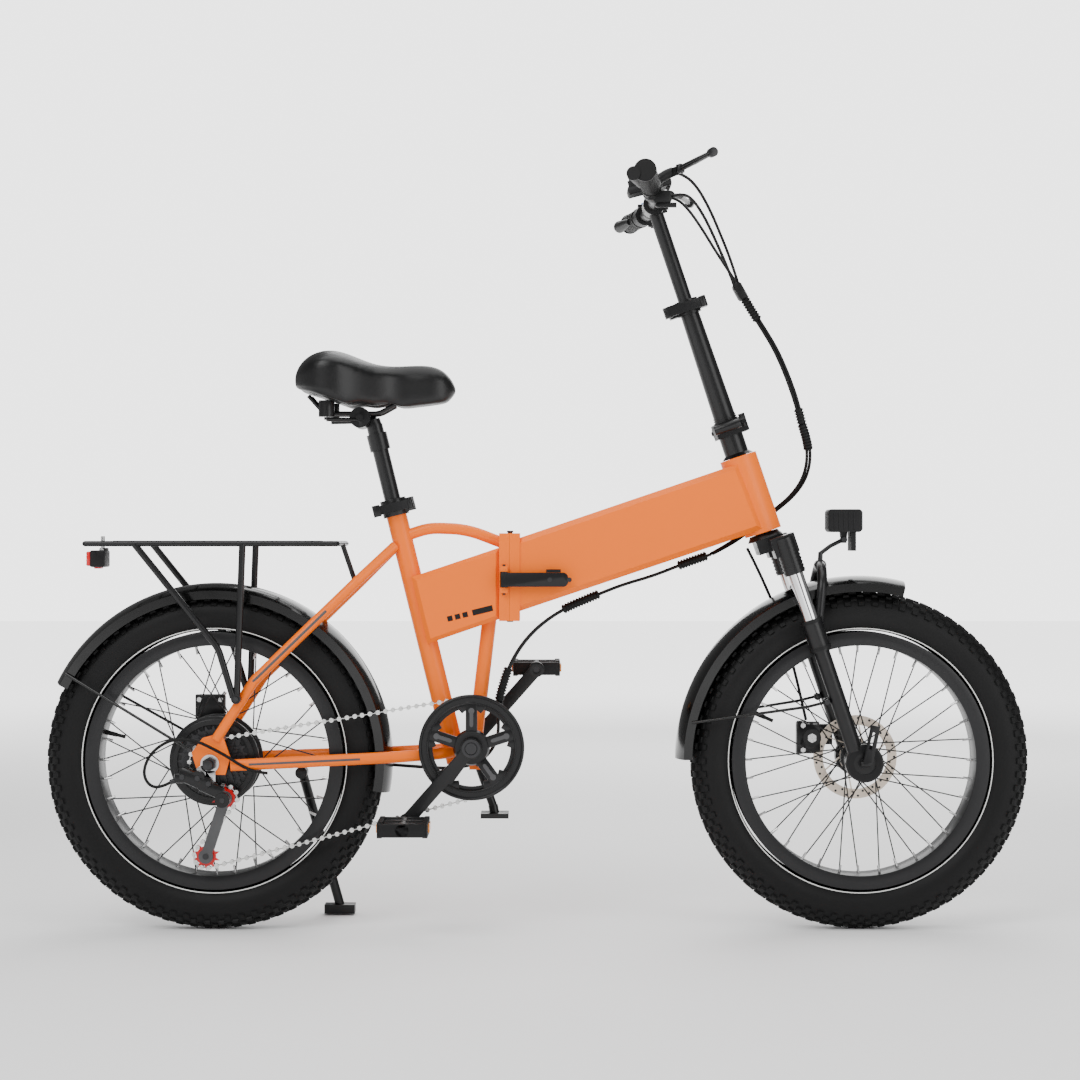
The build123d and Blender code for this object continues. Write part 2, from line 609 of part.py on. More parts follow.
cage = cage_plate(CHAIN_Y - 7.5, CHAIN_Y - 5.5) + cage_plate(CHAIN_Y + 5.5, CHAIN_Y + 7.5)
cage += disc(GUIDE_X, GUIDE_Z, CHAIN_Y - 34, CHAIN_Y + 7.5, 4)
cage += disc(TENSION_X, TENSION_Z, CHAIN_Y - 7.5, CHAIN_Y + 7.5, 4)
save("derailleur_cage", cage)
for name, x, z in (("guide_pulley", GUIDE_X, GUIDE_Z), ("tension_pulley", TENSION_X, TENSION_Z)):
    save(name, ring(x, z, CHAIN_Y - 2, CHAIN_Y + 2, PULLEY_R - CHAIN_HALF - GAP, 4 + FIT))

# ---------------------------------------------------------------- brakes
rear_caliper = block(-576, -524, 40, 66, 340, 386) - disc(-AXLE_X, AXLE_Z, REAR_DISC_Y - 2, REAR_DISC_Y + 2, 74)
rear_caliper += block(-562, -547, 56, DROPOUT_Y - 0.2, 306, 344)
save("rear_brake_caliper", rear_caliper)

front_caliper = block(434, 474, 33, 50, 284, 340) - disc(AXLE_X, AXLE_Z, FRONT_DISC_Y - 2, FRONT_DISC_Y + 2, 74)
save("front_brake_caliper", front_caliper)

# ---------------------------------------------------------------- rack and rear fender
rack = rod((RACK_REAR, -RACK_Y, RACK_Z), (RACK_REAR, RACK_Y, RACK_Z), 4.0)
for side in (-1, 1):
    y = side * RACK_Y
    rack += rod((RACK_REAR, y, RACK_Z), (RACK_FRONT, y, RACK_Z), 4.5)
    rack += rod((-479, y, RACK_Z - 1), (-488, y, 389), RACK_TUBE_R)
    rack += bent_tube([(-654, y, RACK_Z - 1), (-518, y, 468), (-494, y, 388)], RACK_TUBE_R, 60)
    rack += disc(-489, 386, *sorted((side * (78 + GAP), side * (RACK_Y + 6))), 8)
for x in (RACK_FRONT, -405, -495, -585, -670):
    rack += rod((x, -RACK_Y, RACK_Z), (x, RACK_Y, RACK_Z), 4.0)
deck = block(-700, -360, -26, 26, RACK_Z - 3, RACK_Z + 5)
rack += deck
rack += rod((RACK_FRONT + 1, 0, RACK_Z - 1), (-304.1, 0, BRIDGE_Z + 6.4), 4.2)
rack -= rod(seat_bottom, seat_top, SEAT_TUBE_R + GAP)
RACK_HOLES = [(-640, 0), (-440, 0)]
for x, y in RACK_HOLES:
    rack -= rod((x, y, RACK_Z - 10), (x, y, RACK_Z + 10), 2.75)
save("rear_rack", rack)


def fender(axle_x, radius, start, stop):
    """A rolled fender with side skirts, between two angles about the axle."""
    plane = Plane(origin=(axle_x, 0, AXLE_Z), x_dir=(1, 0, 0), z_dir=(0, 1, 0))
    crown = 12.0
    skirt = 26.0
    inner = radius - FENDER_THICK
    edge = FENDER_HALF - FENDER_THICK
    outline = ThreePointArc((radius - crown, -FENDER_HALF), (radius, 0), (radius - crown, FENDER_HALF))
    outline += Line((radius - crown, FENDER_HALF), (radius - skirt, FENDER_HALF))
    outline += Line((radius - skirt, FENDER_HALF), (radius - skirt, edge))
    outline += Line((radius - skirt, edge), (inner - crown, edge))
    outline += ThreePointArc((inner - crown, edge), (inner, 0), (inner - crown, -edge))
    outline += Line((inner - crown, -edge), (radius - skirt, -edge))
    outline += Line((radius - skirt, -edge), (radius - skirt, -FENDER_HALF))
    outline += Line((radius - skirt, -FENDER_HALF), (radius - crown, -FENDER_HALF))
    section = Plane.XY * make_face(outline)
    swept = revolve(section, Axis.Y, stop - start)
    return Pos(axle_x, 0, AXLE_Z) * Rot(0, -start, 0) * swept


def fender_checked(axle_x, radius, start, stop):
    """Turn the fender the right way round: angles run anticlockwise seen from the right side."""
    shape = fender(axle_x, radius, start, stop)
    want = math.radians((start + stop) / 2)
    centre = shape.center()
    if (centre.X - axle_x) * math.cos(want) + (centre.Z - AXLE_Z) * math.sin(want) < 0.5 * radius:
        shape = fender(axle_x, radius, stop, start + (stop - start) * 2)
    return shape


rear_fender = fender_checked(-AXLE_X, REAR_FENDER_R, -10.4, 153.6)
rear_stays = []
for side in (-1, 1):
    outer = side * (FENDER_HALF + STAY_R + 0.2)
    plate_face = side * (DROPOUT_Y + DROPOUT_THICK + STAY_R + 0.2)
    rear_stays.append(rod((-775, outer, 425), (-566, plate_face, 303), STAY_R))
save("rear_fender", rear_fender, *rear_stays)

tail_lamp = block(-742, -712, -26, 26, 596, 628)
tail_lamp += block(-730, -716, -10, 10, 620, RACK_Z - 4)
tail_reflector = block(-746, -742.2, -22, 22, 600, 624)
save("tail_light", tail_lamp, tail_reflector)

# ---------------------------------------------------------------- stands
STAND_PIVOT = (-400.0, 250.0)
STAND_FOOT = 3.0          # the parked bicycle leans this far onto its kickstand
kickstand = rod((STAND_PIVOT[0], 66, STAND_PIVOT[1]), (STAND_PIVOT[0], 94, STAND_PIVOT[1]), 10)
kickstand += rod((STAND_PIVOT[0], 86, STAND_PIVOT[1]), (-339, 137, 11.5), 8)
kickstand += block(-366, -314, 122, 150, STAND_FOOT, STAND_FOOT + 15)
save("kickstand", kickstand)

support = rod((STAND_X, 0, STAND_Z), (-72, 0, 198), 7)
support += disc(STAND_X, STAND_Z, -8.6, 8.6, 8)
support += disc(STAND_X, STAND_Z, -18, 18, 3.5 - FIT)
support += block(-94, -48, -22, 22, 184, 192)
support += rod((-74, 0, 204), (-71, 0, 188), 8)
save("support_stand", support)

# ---------------------------------------------------------------- front frame
beam_outline = [(HINGE_X + GAP / 2, 642), (316, 765), (330, 770), (372, 662), (355, 656), (HINGE_X + GAP / 2, 521)]
beam = side_plate(beam_outline, -FRAME_HALF, FRAME_HALF)
beam = chamfer(beam.faces().filter_by(Axis.Y).edges(), 9)
front_frame = beam + rod(steer(0), steer(-HEAD_LENGTH), HEAD_R)
plate_front = HINGE_X + HINGE_PLATE
front_frame += block(HINGE_X + GAP / 2, plate_front, -HINGE_HALF, HINGE_HALF, HINGE_LOW, HINGE_HIGH)
mid_low = HINGE_LOW + KNUCKLE_LENGTH + GAP
mid_high = HINGE_HIGH - KNUCKLE_LENGTH - GAP
front_frame += rod((*PIN_LINE, mid_low), (*PIN_LINE, mid_high), KNUCKLE_R)
front_frame += block(HINGE_X + GAP / 2, plate_front, 30, HINGE_PIN_Y, mid_low, mid_high)
for low, high in ((HINGE_LOW - 5, HINGE_LOW + KNUCKLE_LENGTH), (HINGE_HIGH - KNUCKLE_LENGTH, HINGE_HIGH + 5)):
    front_frame -= rod((*PIN_LINE, low), (*PIN_LINE, high), KNUCKLE_R + 2 * GAP)
front_frame -= rod((*PIN_LINE, 400), (*PIN_LINE, 800), HINGE_PIN_R + FIT)
battery_outline = [(HINGE_X - 1, 560), (HINGE_X - 1, 632), (268, 736), (292, 648), (-20, 542)]
front_frame -= side_plate(battery_outline, -FRAME_HALF + 5, FRAME_HALF - 5)
front_frame -= rod(steer(10), steer(-HEAD_LENGTH - 10), 18)
for low, high in ((-9, 1), (-HEAD_LENGTH - 1, -HEAD_LENGTH + 9)):
    front_frame -= rod(steer(low), steer(high), 22)
save("front_frame", front_frame)

BATTERY_HALF = FRAME_HALF - 5 - GAP
battery = side_plate([(-28, 566), (-28, 630), (190, 704), (211, 626), (-14, 549)], -BATTERY_HALF, BATTERY_HALF)
controller = side_plate([(206, 706), (258, 724), (276, 652), (226, 636)], -BATTERY_HALF, BATTERY_HALF)
save("battery_and_controller", battery, controller)

latch = block(LATCH_X - 5, 50, -58, -48, LATCH_Z - 11.5, LATCH_Z + 11.5)
latch = fillet(latch.edges().filter_by(Axis.Y).sort_by(Axis.X)[-2:], 8)
latch += rod((LATCH_X, -47, LATCH_Z - 12.6), (LATCH_X, -47, LATCH_Z + 12.6), 6.5)
latch += rod((LATCH_X, -47, LATCH_Z - 25), (LATCH_X, -47, LATCH_Z + 25), 2.5)
save("frame_latch", latch)
save("latch_catch", block(14, 38, -56, -50, LATCH_Z + 11.8, LATCH_Z + 17))

# ---------------------------------------------------------------- fork
BELOW_HEAD = -HEAD_LENGTH - 1.5
crown = rod(steer(BELOW_HEAD - 32), steer(POST_HINGE - 22), STEERER_R)
crown += cone(steer(BELOW_HEAD - 9), steer(BELOW_HEAD), 30, 24)
crown += steer_block(BELOW_HEAD - 32, BELOW_HEAD - 8, -20, 26, -34, 34)
for side in (-1, 1):
    crown += steer_block(BELOW_HEAD - 44, BELOW_HEAD - 12, 0, 40, min(side * 30, side * 74), max(side * 30, side * 74))
    crown += rod(steer(-211, LEG_AHEAD, side * LEG_Y), steer(-150, LEG_AHEAD, side * LEG_Y), 17)
    crown += rod(steer(LOWER_TOP - 100, LEG_AHEAD, side * LEG_Y), steer(-205, LEG_AHEAD, side * LEG_Y), STANCHION_R)
bearings = []
for low, high in ((-8.6, -0.6), (-HEAD_LENGTH + 0.6, -HEAD_LENGTH + 8.6)):
    bearings.append(rod(steer(low), steer(high), 21.9) - rod(steer(low - 2), steer(high + 2), STEERER_R + FIT))
# handlepost base, clamped on the steerer, with the lower half of the folding joint
base = cone(steer(0.6), steer(6), 27, 21) + rod(steer(5), steer(POST_HINGE - 10), 20)
base += steer_block(POST_HINGE - 13, POST_HINGE - GAP / 2, -24, 30, -30, 32)
PIN_LOW = steer(POST_HINGE, -24, POST_PIN_Y)
PIN_HIGH = steer(POST_HINGE, 30, POST_PIN_Y)
for low, high in ((-24, -10), (16, 30)):
    base += rod(steer(POST_HINGE, low, POST_PIN_Y), steer(POST_HINGE, high, POST_PIN_Y), 7)
    base += steer_block(POST_HINGE - 13, POST_HINGE - GAP / 2, low, high, 28, POST_PIN_Y)
base -= rod(steer(POST_HINGE, -9.9, POST_PIN_Y), steer(POST_HINGE, 15.9, POST_PIN_Y), 7 + 2 * GAP)
base -= rod(steer(POST_HINGE, -40, POST_PIN_Y), steer(POST_HINGE, 45, POST_PIN_Y), POST_PIN_R + FIT)
base -= rod(steer(-5), steer(POST_HINGE - 21), STEERER_R + FIT)
post_pin = rod(steer(POST_HINGE, -26, POST_PIN_Y), steer(POST_HINGE, 32, POST_PIN_Y), POST_PIN_R)
save("fork_crown", crown, *bearings, base, post_pin)

arch_points = [
    steer(LOWER_TOP - 12, LEG_AHEAD + 8, -LEG_Y + 4),
    steer(-236, 62, -52),
    steer(-214, 72, -20),
    steer(-214, 72, 20),
    steer(-236, 62, 52),
    steer(LOWER_TOP - 12, LEG_AHEAD + 8, LEG_Y - 4),
]
lowers = bent_tube([p for p in arch_points], 8)
for side in (-1, 1):
    y = side * LEG_Y
    lowers += rod(steer(LOWER_TOP - 50, LEG_AHEAD, y), steer(LOWER_TOP, LEG_AHEAD, y), LOWER_R + 2)
    lowers += rod(steer(AXLE_DOWN + 24, LEG_AHEAD, y), steer(LOWER_TOP - 45, LEG_AHEAD, y), LOWER_R - 2)
    low, high = sorted((side * (LEG_Y - 8), side * (LEG_Y + 9)))
    lowers += disc(AXLE_X, AXLE_Z, low, high, 31)
# caliper tab on the left leg and bosses for the fender's stays
lowers += block(470, 496, 50.3, 60, 300, 334)
for side in (-1, 1):
    low, high = sorted((side * 54, side * 66))
    lowers += disc(472, 380, low, high, 6)
for side in (-1, 1):
    y = side * LEG_Y
    lowers -= rod(steer(LOWER_TOP - 165, LEG_AHEAD, y), steer(LOWER_TOP + 60, LEG_AHEAD, y), STANCHION_R + FIT)
lowers -= disc(AXLE_X, AXLE_Z, -100, 100, FRONT_AXLE_R + FIT)
lowers -= disc(AXLE_X, AXLE_Z, -HUB_END - 0.01, HUB_END + 0.01, 12)
front_axle = disc(AXLE_X, AXLE_Z, -79, 81, FRONT_AXLE_R) + disc(AXLE_X, AXLE_Z, LEG_Y + 9.1, LEG_Y + 16, 9)
front_axle += disc(AXLE_X, AXLE_Z, -LEG_Y - 15, -LEG_Y - 9.1, 9)
lamp_bracket = bent_tube([(470, 0, 622), (486, 0, 634), (508, 0, 645)], 3.5, 20)
lamp_bracket += disc(508, 645, -4, 4, 6)
lamp_bracket -= disc(508, 645, -6, 6, 2.5 + FIT)
lamp_bracket -= bent_tube([p for p in arch_points[1:-1]], 8 + 0.1)
save("fork_lowers", lowers, front_axle, lamp_bracket)

LEVER_Y = -LEG_Y - 20.0
front_lever = rod((AXLE_X - 8, LEVER_Y, AXLE_Z), (AXLE_X + 8, LEVER_Y, AXLE_Z), 4.6)
front_lever += side_plate([(528, 280), (541, 344), (556, 341), (544, 280)], LEVER_Y - 4, LEVER_Y + 1)
front_lever -= side_plate([(537, 305), (544, 332), (548, 331), (542, 303)], LEVER_Y - 9, LEVER_Y + 9)
save("front_lever", front_lever)

front_fender = fender_checked(AXLE_X, FRONT_FENDER_R, 76, 179.5)
front_stays = []
for side in (-1, 1):
    y_out = side * (FENDER_HALF + STAY_R + GAP)
    front_stays.append(bent_tube([(472, side * 68.5, 380), (440, side * 68.5, 372), (254, y_out, 344)], STAY_R, 40))
save("front_fender", front_fender, *front_stays)

lamp = block(480, 536, -24, 24, 657, 695)
lamp = fillet(lamp.edges().filter_by(Axis.Y), 6)
for side in (-1, 1):
    low, high = sorted((side * 4.4, side * 8))
    lamp += side_plate([(502, 660), (514, 660), (512, 639), (504, 639)], low, high)
lamp += disc(508, 645, -8, 8, 2.5)
reflector = block(518, 526, -22, 22, 626, 656.9)
save("headlight", lamp + reflector)

# ---------------------------------------------------------------- handlepost
upper = steer_block(POST_HINGE + GAP / 2, POST_HINGE + 12, -24, 30, -30, 32)
upper += rod(steer(POST_HINGE, -9.6, POST_PIN_Y), steer(POST_HINGE, 15.6, POST_PIN_Y), 7)
upper += steer_block(POST_HINGE + GAP / 2, POST_HINGE + 12, -9.6, 15.6, 28, POST_PIN_Y)
upper += cone(steer(POST_HINGE + 11), steer(POST_CLAMP), 18.5, 15.5)
upper += rod(steer(POST_CLAMP - 12), steer(POST_CLAMP + 12), 20)
upper += steer_block(POST_CLAMP - 11, POST_CLAMP + 11, -34, -14, -11, 11)
upper += steer_block(POST_CLAMP - 8, POST_CLAMP + 8, 14, 32, -8, 8)
upper += rod(steer(POST_CLAMP, 25, -20 + GAP), steer(POST_CLAMP, 25, -7), 4)
for low, high in ((-30, -10), (16, 36)):
    start = steer(POST_HINGE, low, POST_PIN_Y)
    upper -= rod(start, steer(POST_HINGE, high, POST_PIN_Y), 7 + 2 * GAP)
upper -= rod(steer(POST_HINGE, -40, POST_PIN_Y), steer(POST_HINGE, 45, POST_PIN_Y), POST_PIN_R + FIT)
upper -= rod(steer(POST_HINGE + 16), steer(POST_CLAMP + 30), POST_INNER_R + FIT)
upper += steer_block(POST_HINGE + GAP / 2, POST_HINGE + 5, 20, 28, -40, -29)
upper -= rod(steer(POST_HINGE - 10, 24, -36), steer(POST_HINGE + 20, 24, -36), 2.5 + FIT)
save("handlepost", upper)

# Latch of the folding joint: a round handle along the near side.
post_latch = rod(steer(POST_HINGE - 6, 24, -36), steer(POST_HINGE + 16, 24, -36), 2.5)
post_latch += rod(steer(POST_HINGE + 5.4, 24, -36), steer(POST_HINGE + 16, 24, -36), 5.5)
post_latch += rod(steer(POST_HINGE + 2, -28, -48), steer(POST_HINGE + 2, 17, -48), 7.5)
post_latch += steer_block(POST_HINGE + 5.4, POST_HINGE + 11, 6, 27, -46, -34)
save("post_latch", post_latch)

# Quick-release lever of the telescopic clamp.
post_lever = steer_block(POST_CLAMP - 8, POST_CLAMP + 8, -36, 26, -29, -22)
post_lever += steer_block(POST_CLAMP - 9, POST_CLAMP + 9, -42, -30, -29, -13)
post_lever += rod(steer(POST_CLAMP - 9, 25, -26), steer(POST_CLAMP + 9, 25, -26), 6)
save("post_lever", post_lever)

# ---------------------------------------------------------------- handlebar and controls
bar_ends = []
for side in (-1, 1):
    bar_ends.append(BAR_CENTRE + Vector(-BAR_BACK, side * BAR_HALF, BAR_RISE))
BAR_STRAIGHT = 70.0
knees = [BAR_CENTRE + LEFT * (side * BAR_STRAIGHT) for side in (-1, 1)]


def on_bar(y):
    """The point of the bar's centre line at a distance to the left of the middle."""
    side = 1 if y > 0 else -1
    share = max(0.0, (abs(y) - BAR_STRAIGHT) / (BAR_HALF - BAR_STRAIGHT))
    return BAR_CENTRE + Vector(-BAR_BACK * share, side * abs(y), BAR_RISE * share)


bar_path = [bar_ends[0], knees[0], knees[1], bar_ends[1]]
bar = bent_tube(bar_path, BAR_R, 60)
inner_post = rod(steer(POST_CLAMP - 62), steer(BAR_UP - 6), POST_INNER_R)
inner_post += rod(BAR_CENTRE - LEFT * 22, BAR_CENTRE + LEFT * 22, 18)
inner_post -= rod(BAR_CENTRE - LEFT * 30, BAR_CENTRE + LEFT * 30, BAR_R + FIT)
save("handlebar", bar, inner_post)

grips = []
for side in (-1, 1):
    inner = on_bar(side * GRIP_START)
    outer = on_bar(side * (BAR_HALF + 4))
    grip = rod(inner, outer, GRIP_R)
    wing_in = on_bar(side * 205) - Vector(14, 0, 4)
    wing_out = on_bar(side * (BAR_HALF + 3)) - Vector(18, 0, 5)
    grip += cone(wing_in, wing_out, 6, 11)
    grip -= rod(on_bar(side * (GRIP_START - 3)), bar_ends[(side + 1) // 2] + LEFT * side * 0.1, BAR_R + FIT)
    grips.append(grip)
save("grips", *grips)

# Lever clamps, shifter, throttle and display on the bar.
controls = []
for side in (-1, 1):
    centre = on_bar(side * 138)
    inner_face = on_bar(side * 128)
    outer_face = on_bar(side * 149)
    body = rod(inner_face, outer_face, 17)
    body += bent_tube([(centre + Vector(0, 0, 12)), (centre + Vector(22, 0, 26)),
                       (centre + Vector(42, 0, 34))], 8, 12)
    body += disc(centre.X + 44, centre.Z + 35, centre.Y - 5, centre.Y + 5, 8)
    slot_low = centre.Z + 30
    body -= block(centre.X + 30, centre.X + 66, centre.Y - 3.6, centre.Y + 20 * side, slot_low - 9, slot_low + 18) \
        if side > 0 else \
        block(centre.X + 30, centre.X + 66, centre.Y - 20, centre.Y + 3.6, slot_low - 9, slot_low + 18)
    body -= rod(on_bar(side * 120), on_bar(side * 160), BAR_R + FIT)
    controls.append(body)
shifter_in = on_bar(-152)
shifter_out = on_bar(-168)
shifter = rod(shifter_in, shifter_out, 16.5)
shifter += Pos(shifter_in.X + 16, -160, shifter_in.Z - 14) * Box(26, 15, 18)
shifter -= rod(on_bar(-145), on_bar(-175), BAR_R + FIT)
controls.append(shifter)
throttle = rod(on_bar(152), on_bar(168), 16.5)
throttle += Pos(on_bar(160).X + 4, 160, on_bar(160).Z + 16) * Box(24, 15, 10)
throttle -= rod(on_bar(160) + Vector(4, 0, 18.5), on_bar(160) + Vector(4, 0, 30), 6 + GAP)
throttle -= rod(on_bar(145), on_bar(175), BAR_R + FIT)
controls.append(throttle)
display = Pos(BAR_CENTRE.X - 4, 62, BAR_CENTRE.Z + 40) * Rot(0, -14, 0) * Box(72, 44, 14)
display += rod(BAR_CENTRE + Vector(0, 34, 0), BAR_CENTRE + Vector(0, 46, 0), 17)
display += rod(BAR_CENTRE + Vector(2, 42, 12), BAR_CENTRE + Vector(0, 50, 38), 6)
display -= rod(BAR_CENTRE + LEFT * 30, BAR_CENTRE + LEFT * 55, BAR_R + FIT)
controls.append(display)
save("bar_controls", *controls)

for side, name in ((-1, "right_brake_lever"), (1, "left_brake_lever")):
    centre = on_bar(side * 138)
    pivot = centre + Vector(44, side * 3.7, 35)
    elbow = centre + Vector(64, side * 40, 40)
    tip = centre + Vector(86, side * 124, 40)
    first_run = (elbow - pivot).normalized()
    last_run = (tip - elbow).normalized()
    blade = rod(pivot, elbow + first_run * 3, 5) + cone(elbow - last_run * 3, tip, 5.3, 4.2)
    blade += rod(tip - last_run * 6, tip + last_run * 6, 7.5)
    blade += rod(pivot - Vector(0, 0, 6), pivot + Vector(0, 0, 6), 7)
    save(name, blade)

SHIFT_PIVOT = (shifter_in.X + 8.5, shifter_in.Z - 23 - GAP - 3.5)
shift_lever = disc(*SHIFT_PIVOT, -164.5, -155.5, 3.5)
shift_lever += Pos(SHIFT_PIVOT[0] + 15, -160, SHIFT_PIVOT[1]) * Box(30, 9, 7)
save("shift_lever", shift_lever)
button = rod(on_bar(160) + Vector(4, 0, 19.8), on_bar(160) + Vector(4, 0, 24), 6)
save("horn_button", button)

# ---------------------------------------------------------------- cables
bar_cables = [
    cord("brake cable right", [(219, -127.6, 1234), (238, -111, 1232), (260, -93, 1214), (282, -71, 1180),
                               (302, -48, 1140), (320, -32, 1100), (334, -22, 1058)], CABLE_R),
    cord("brake cable left", [(219, 127.6, 1234), (237, 111, 1229), (256, 88, 1207), (277, 60, 1170),
                              (299, 30, 1126), (320, 4, 1088), (336, -12, 1058)], CABLE_R),
    cord("gear cable", [(213.4, -160, 1190), (231, -147, 1197), (250, -119, 1192), (273, -88, 1164),
                        (296, -60, 1122), (314, -43, 1086), (326, -34, 1056)], CABLE_R),
]
save("bar_cables", *bar_cables)
post_cables = [
    cord("post bundle", [(334, -22, 1056), (348, -26, 1030), (368, -30, 998), (392, -34, 958), (412, -34, 912),
                         (428, -32, 866), (436, -30, 834)], BUNDLE_R),
]
save("post_cables", *post_cables)
head_cables = [
    cord("head bundle", [(436.2, -29.8, 832.6), (446, -23, 806), (450, -6, 774), (444, 15, 744), (427, 33, 718),
                         (402, 44, 696), (374, 48, 675), (346, 44, 653), (318, 29, 635), (290, 8, 621)], BUNDLE_R),
    cord("front brake hose", [(351, 31, 630), (363, 38, 608), (378, 46, 578), (397, 52, 536), (414, 54, 490),
                              (428, 54, 442), (440, 51, 394), (451, 44, 341.2)], CABLE_R),
]
save("head_cables", *head_cables)
beam_cables = [
    cord("beam bundle", [(287.3, 7, 619.9), (240, 4, 604), (190, 2, 584), (140, 0, 570), (88, -4, 549),
                         (38, -10, 528), (-4, -17, 498), (-34, -22, 462), (-54, -25, 420), (-64, -24, 378)],
         BUNDLE_R),
]
save("beam_cables", *beam_cables)
stay_cables = [
    cord("gear and motor lead", [(-64.5, -23, 376), (-65, -14, 350), (-65, 6, 322), (-75, 23, 293), (-100, 29, 270),
                                 (-142, 33, 261), (-192, 46, 262), (-248, 60, 265)], BUNDLE_R),
]
stay_cables.append(
    cord("gear cable loop", [(-440, -70, 264), (-462, -76, 267), (-482, -82, 278), (-502, -87, 292), (-525, -89, 305),
                             (-549, -90, 317), (-577, -91, 322), (-599, -91, 318), (-621, -90, 304),
                             (-635, -89, 284), (-639, -88, 262), (-629, -87, 245), (-612, -86, 242),
                             (-595, -86, 251)], CABLE_R)
)
save("stay_cables", *stay_cables)
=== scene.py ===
import logging
import math
from dataclasses import dataclass
from enum import Enum

import bmesh
import bpy
from mathutils import Matrix, Vector


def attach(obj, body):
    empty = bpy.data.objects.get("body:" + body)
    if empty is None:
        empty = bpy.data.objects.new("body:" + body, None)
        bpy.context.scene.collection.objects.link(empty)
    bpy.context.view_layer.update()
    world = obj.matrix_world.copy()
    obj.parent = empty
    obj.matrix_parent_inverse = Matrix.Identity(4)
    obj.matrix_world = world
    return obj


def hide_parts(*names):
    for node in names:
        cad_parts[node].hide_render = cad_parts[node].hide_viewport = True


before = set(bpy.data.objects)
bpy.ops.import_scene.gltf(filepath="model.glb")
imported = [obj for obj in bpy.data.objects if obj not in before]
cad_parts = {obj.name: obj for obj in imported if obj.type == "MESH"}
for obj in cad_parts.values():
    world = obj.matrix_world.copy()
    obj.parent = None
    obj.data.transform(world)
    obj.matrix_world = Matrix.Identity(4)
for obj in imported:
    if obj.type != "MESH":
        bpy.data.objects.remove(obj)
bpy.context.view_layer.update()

log = logging.getLogger("folding_bicycle")

AXLE_X = 0.533
AXLE_Z = 0.280
TYRE_R = 0.280
SECTION_R = 0.038
RIM_INNER_R = 0.190
CHAIN_Y = -0.054
PITCH = 0.0127
BB_X = -0.108
BB_Z = 0.305
CRANK_LENGTH = 0.160
CRANK_TURN = math.radians(228.5)
LEAN = math.radians(18.6)
UP = Vector((-math.sin(LEAN), 0.0, math.cos(LEAN)))
AHEAD = Vector((math.cos(LEAN), 0.0, math.sin(LEAN)))
LEFT = Vector((0.0, 1.0, 0.0))
HEAD_TOP = Vector((0.3327, 0.0, 0.7819))
BAR_CENTRE = HEAD_TOP + UP * 0.440
FULL_TURN = 2.0 * math.pi
TOOTH_FOOT = 0.0042
TOOTH_HEIGHT = 0.0068
SAME_PLACE = 0.00001
GUIDE_PULLEY = (-0.511, 0.222)
TENSION_PULLEY = (-0.542, 0.127)

Point = Vector | tuple[float, float, float]
Outline = list[tuple[float, float]]


def steer(up: float, ahead: float = 0.0, left: float = 0.0) -> Vector:
    """A point along the steering axis, ahead of it and to its left."""
    return HEAD_TOP + UP * up + AHEAD * ahead + LEFT * left


def on_bar(y: float) -> Vector:
    """A point of the handlebar's centre line.

    Args:
        y: distance to the left of the middle

    Returns:
        the point
    """
    straight, half = 0.070, 0.290
    share = max(0.0, (abs(y) - straight) / (half - straight))
    return BAR_CENTRE + Vector((-0.027 * share, y, 0.011 * share))


class Pattern(Enum):
    """The kinds of fine surface pattern a finish can have."""

    GRAIN = "NOISE"
    BRUSHED = "BRUSHED"


@dataclass(frozen=True)
class Finish:
    """One procedural surface finish.

    Args:
        name: the material's name
        colour: linear base colour
        roughness: middle roughness
        metallic: metal share
        coat: clear coat weight
        variation: how much the colour drifts over the surface
        scale: size of the fine grain, larger is finer
        bump: strength of the fine relief
        shine: strength of the surface's own reflection
        pattern: kind of grain
    """

    name: str
    colour: tuple[float, float, float]
    roughness: float
    metallic: float = 0.0
    coat: float = 0.0
    variation: float = 0.25
    scale: float = 900.0
    bump: float = 0.10
    shine: float = 0.5
    pattern: Pattern = Pattern.GRAIN

    def material(self) -> bpy.types.Material:
        """Make the finish as a material, once.

        Returns:
            the material
        """
        known = bpy.data.materials.get(self.name)
        if known is not None:
            return known
        made = bpy.data.materials.new(self.name)
        made.use_nodes = True
        nodes, links = made.node_tree.nodes, made.node_tree.links
        shader = nodes["Principled BSDF"]
        shader.inputs["Metallic"].default_value = self.metallic
        shader.inputs["Coat Weight"].default_value = self.coat
        shader.inputs["Coat Roughness"].default_value = 0.12
        shader.inputs["Specular IOR Level"].default_value = self.shine
        place = nodes.new("ShaderNodeTexCoord")
        stretch = nodes.new("ShaderNodeMapping")
        if self.pattern is Pattern.BRUSHED:
            stretch.inputs["Scale"].default_value = (1.0, 14.0, 1.0)
        grain = nodes.new("ShaderNodeGroup")
        grain.node_tree = surface_grain()
        grain.inputs["Colour"].default_value = (*self.colour, 1.0)
        grain.inputs["Scale"].default_value = self.scale
        grain.inputs["Variation"].default_value = self.variation
        grain.inputs["Roughness"].default_value = self.roughness
        relief = nodes.new("ShaderNodeBump")
        relief.inputs["Strength"].default_value = self.bump
        relief.inputs["Distance"].default_value = 0.0004
        links.new(place.outputs["Object"], stretch.inputs["Vector"])
        links.new(stretch.outputs["Vector"], grain.inputs["Vector"])
        links.new(grain.outputs["Colour"], shader.inputs["Base Color"])
        links.new(grain.outputs["Roughness"], shader.inputs["Roughness"])
        links.new(grain.outputs["Height"], relief.inputs["Height"])
        links.new(relief.outputs["Normal"], shader.inputs["Normal"])
        return made


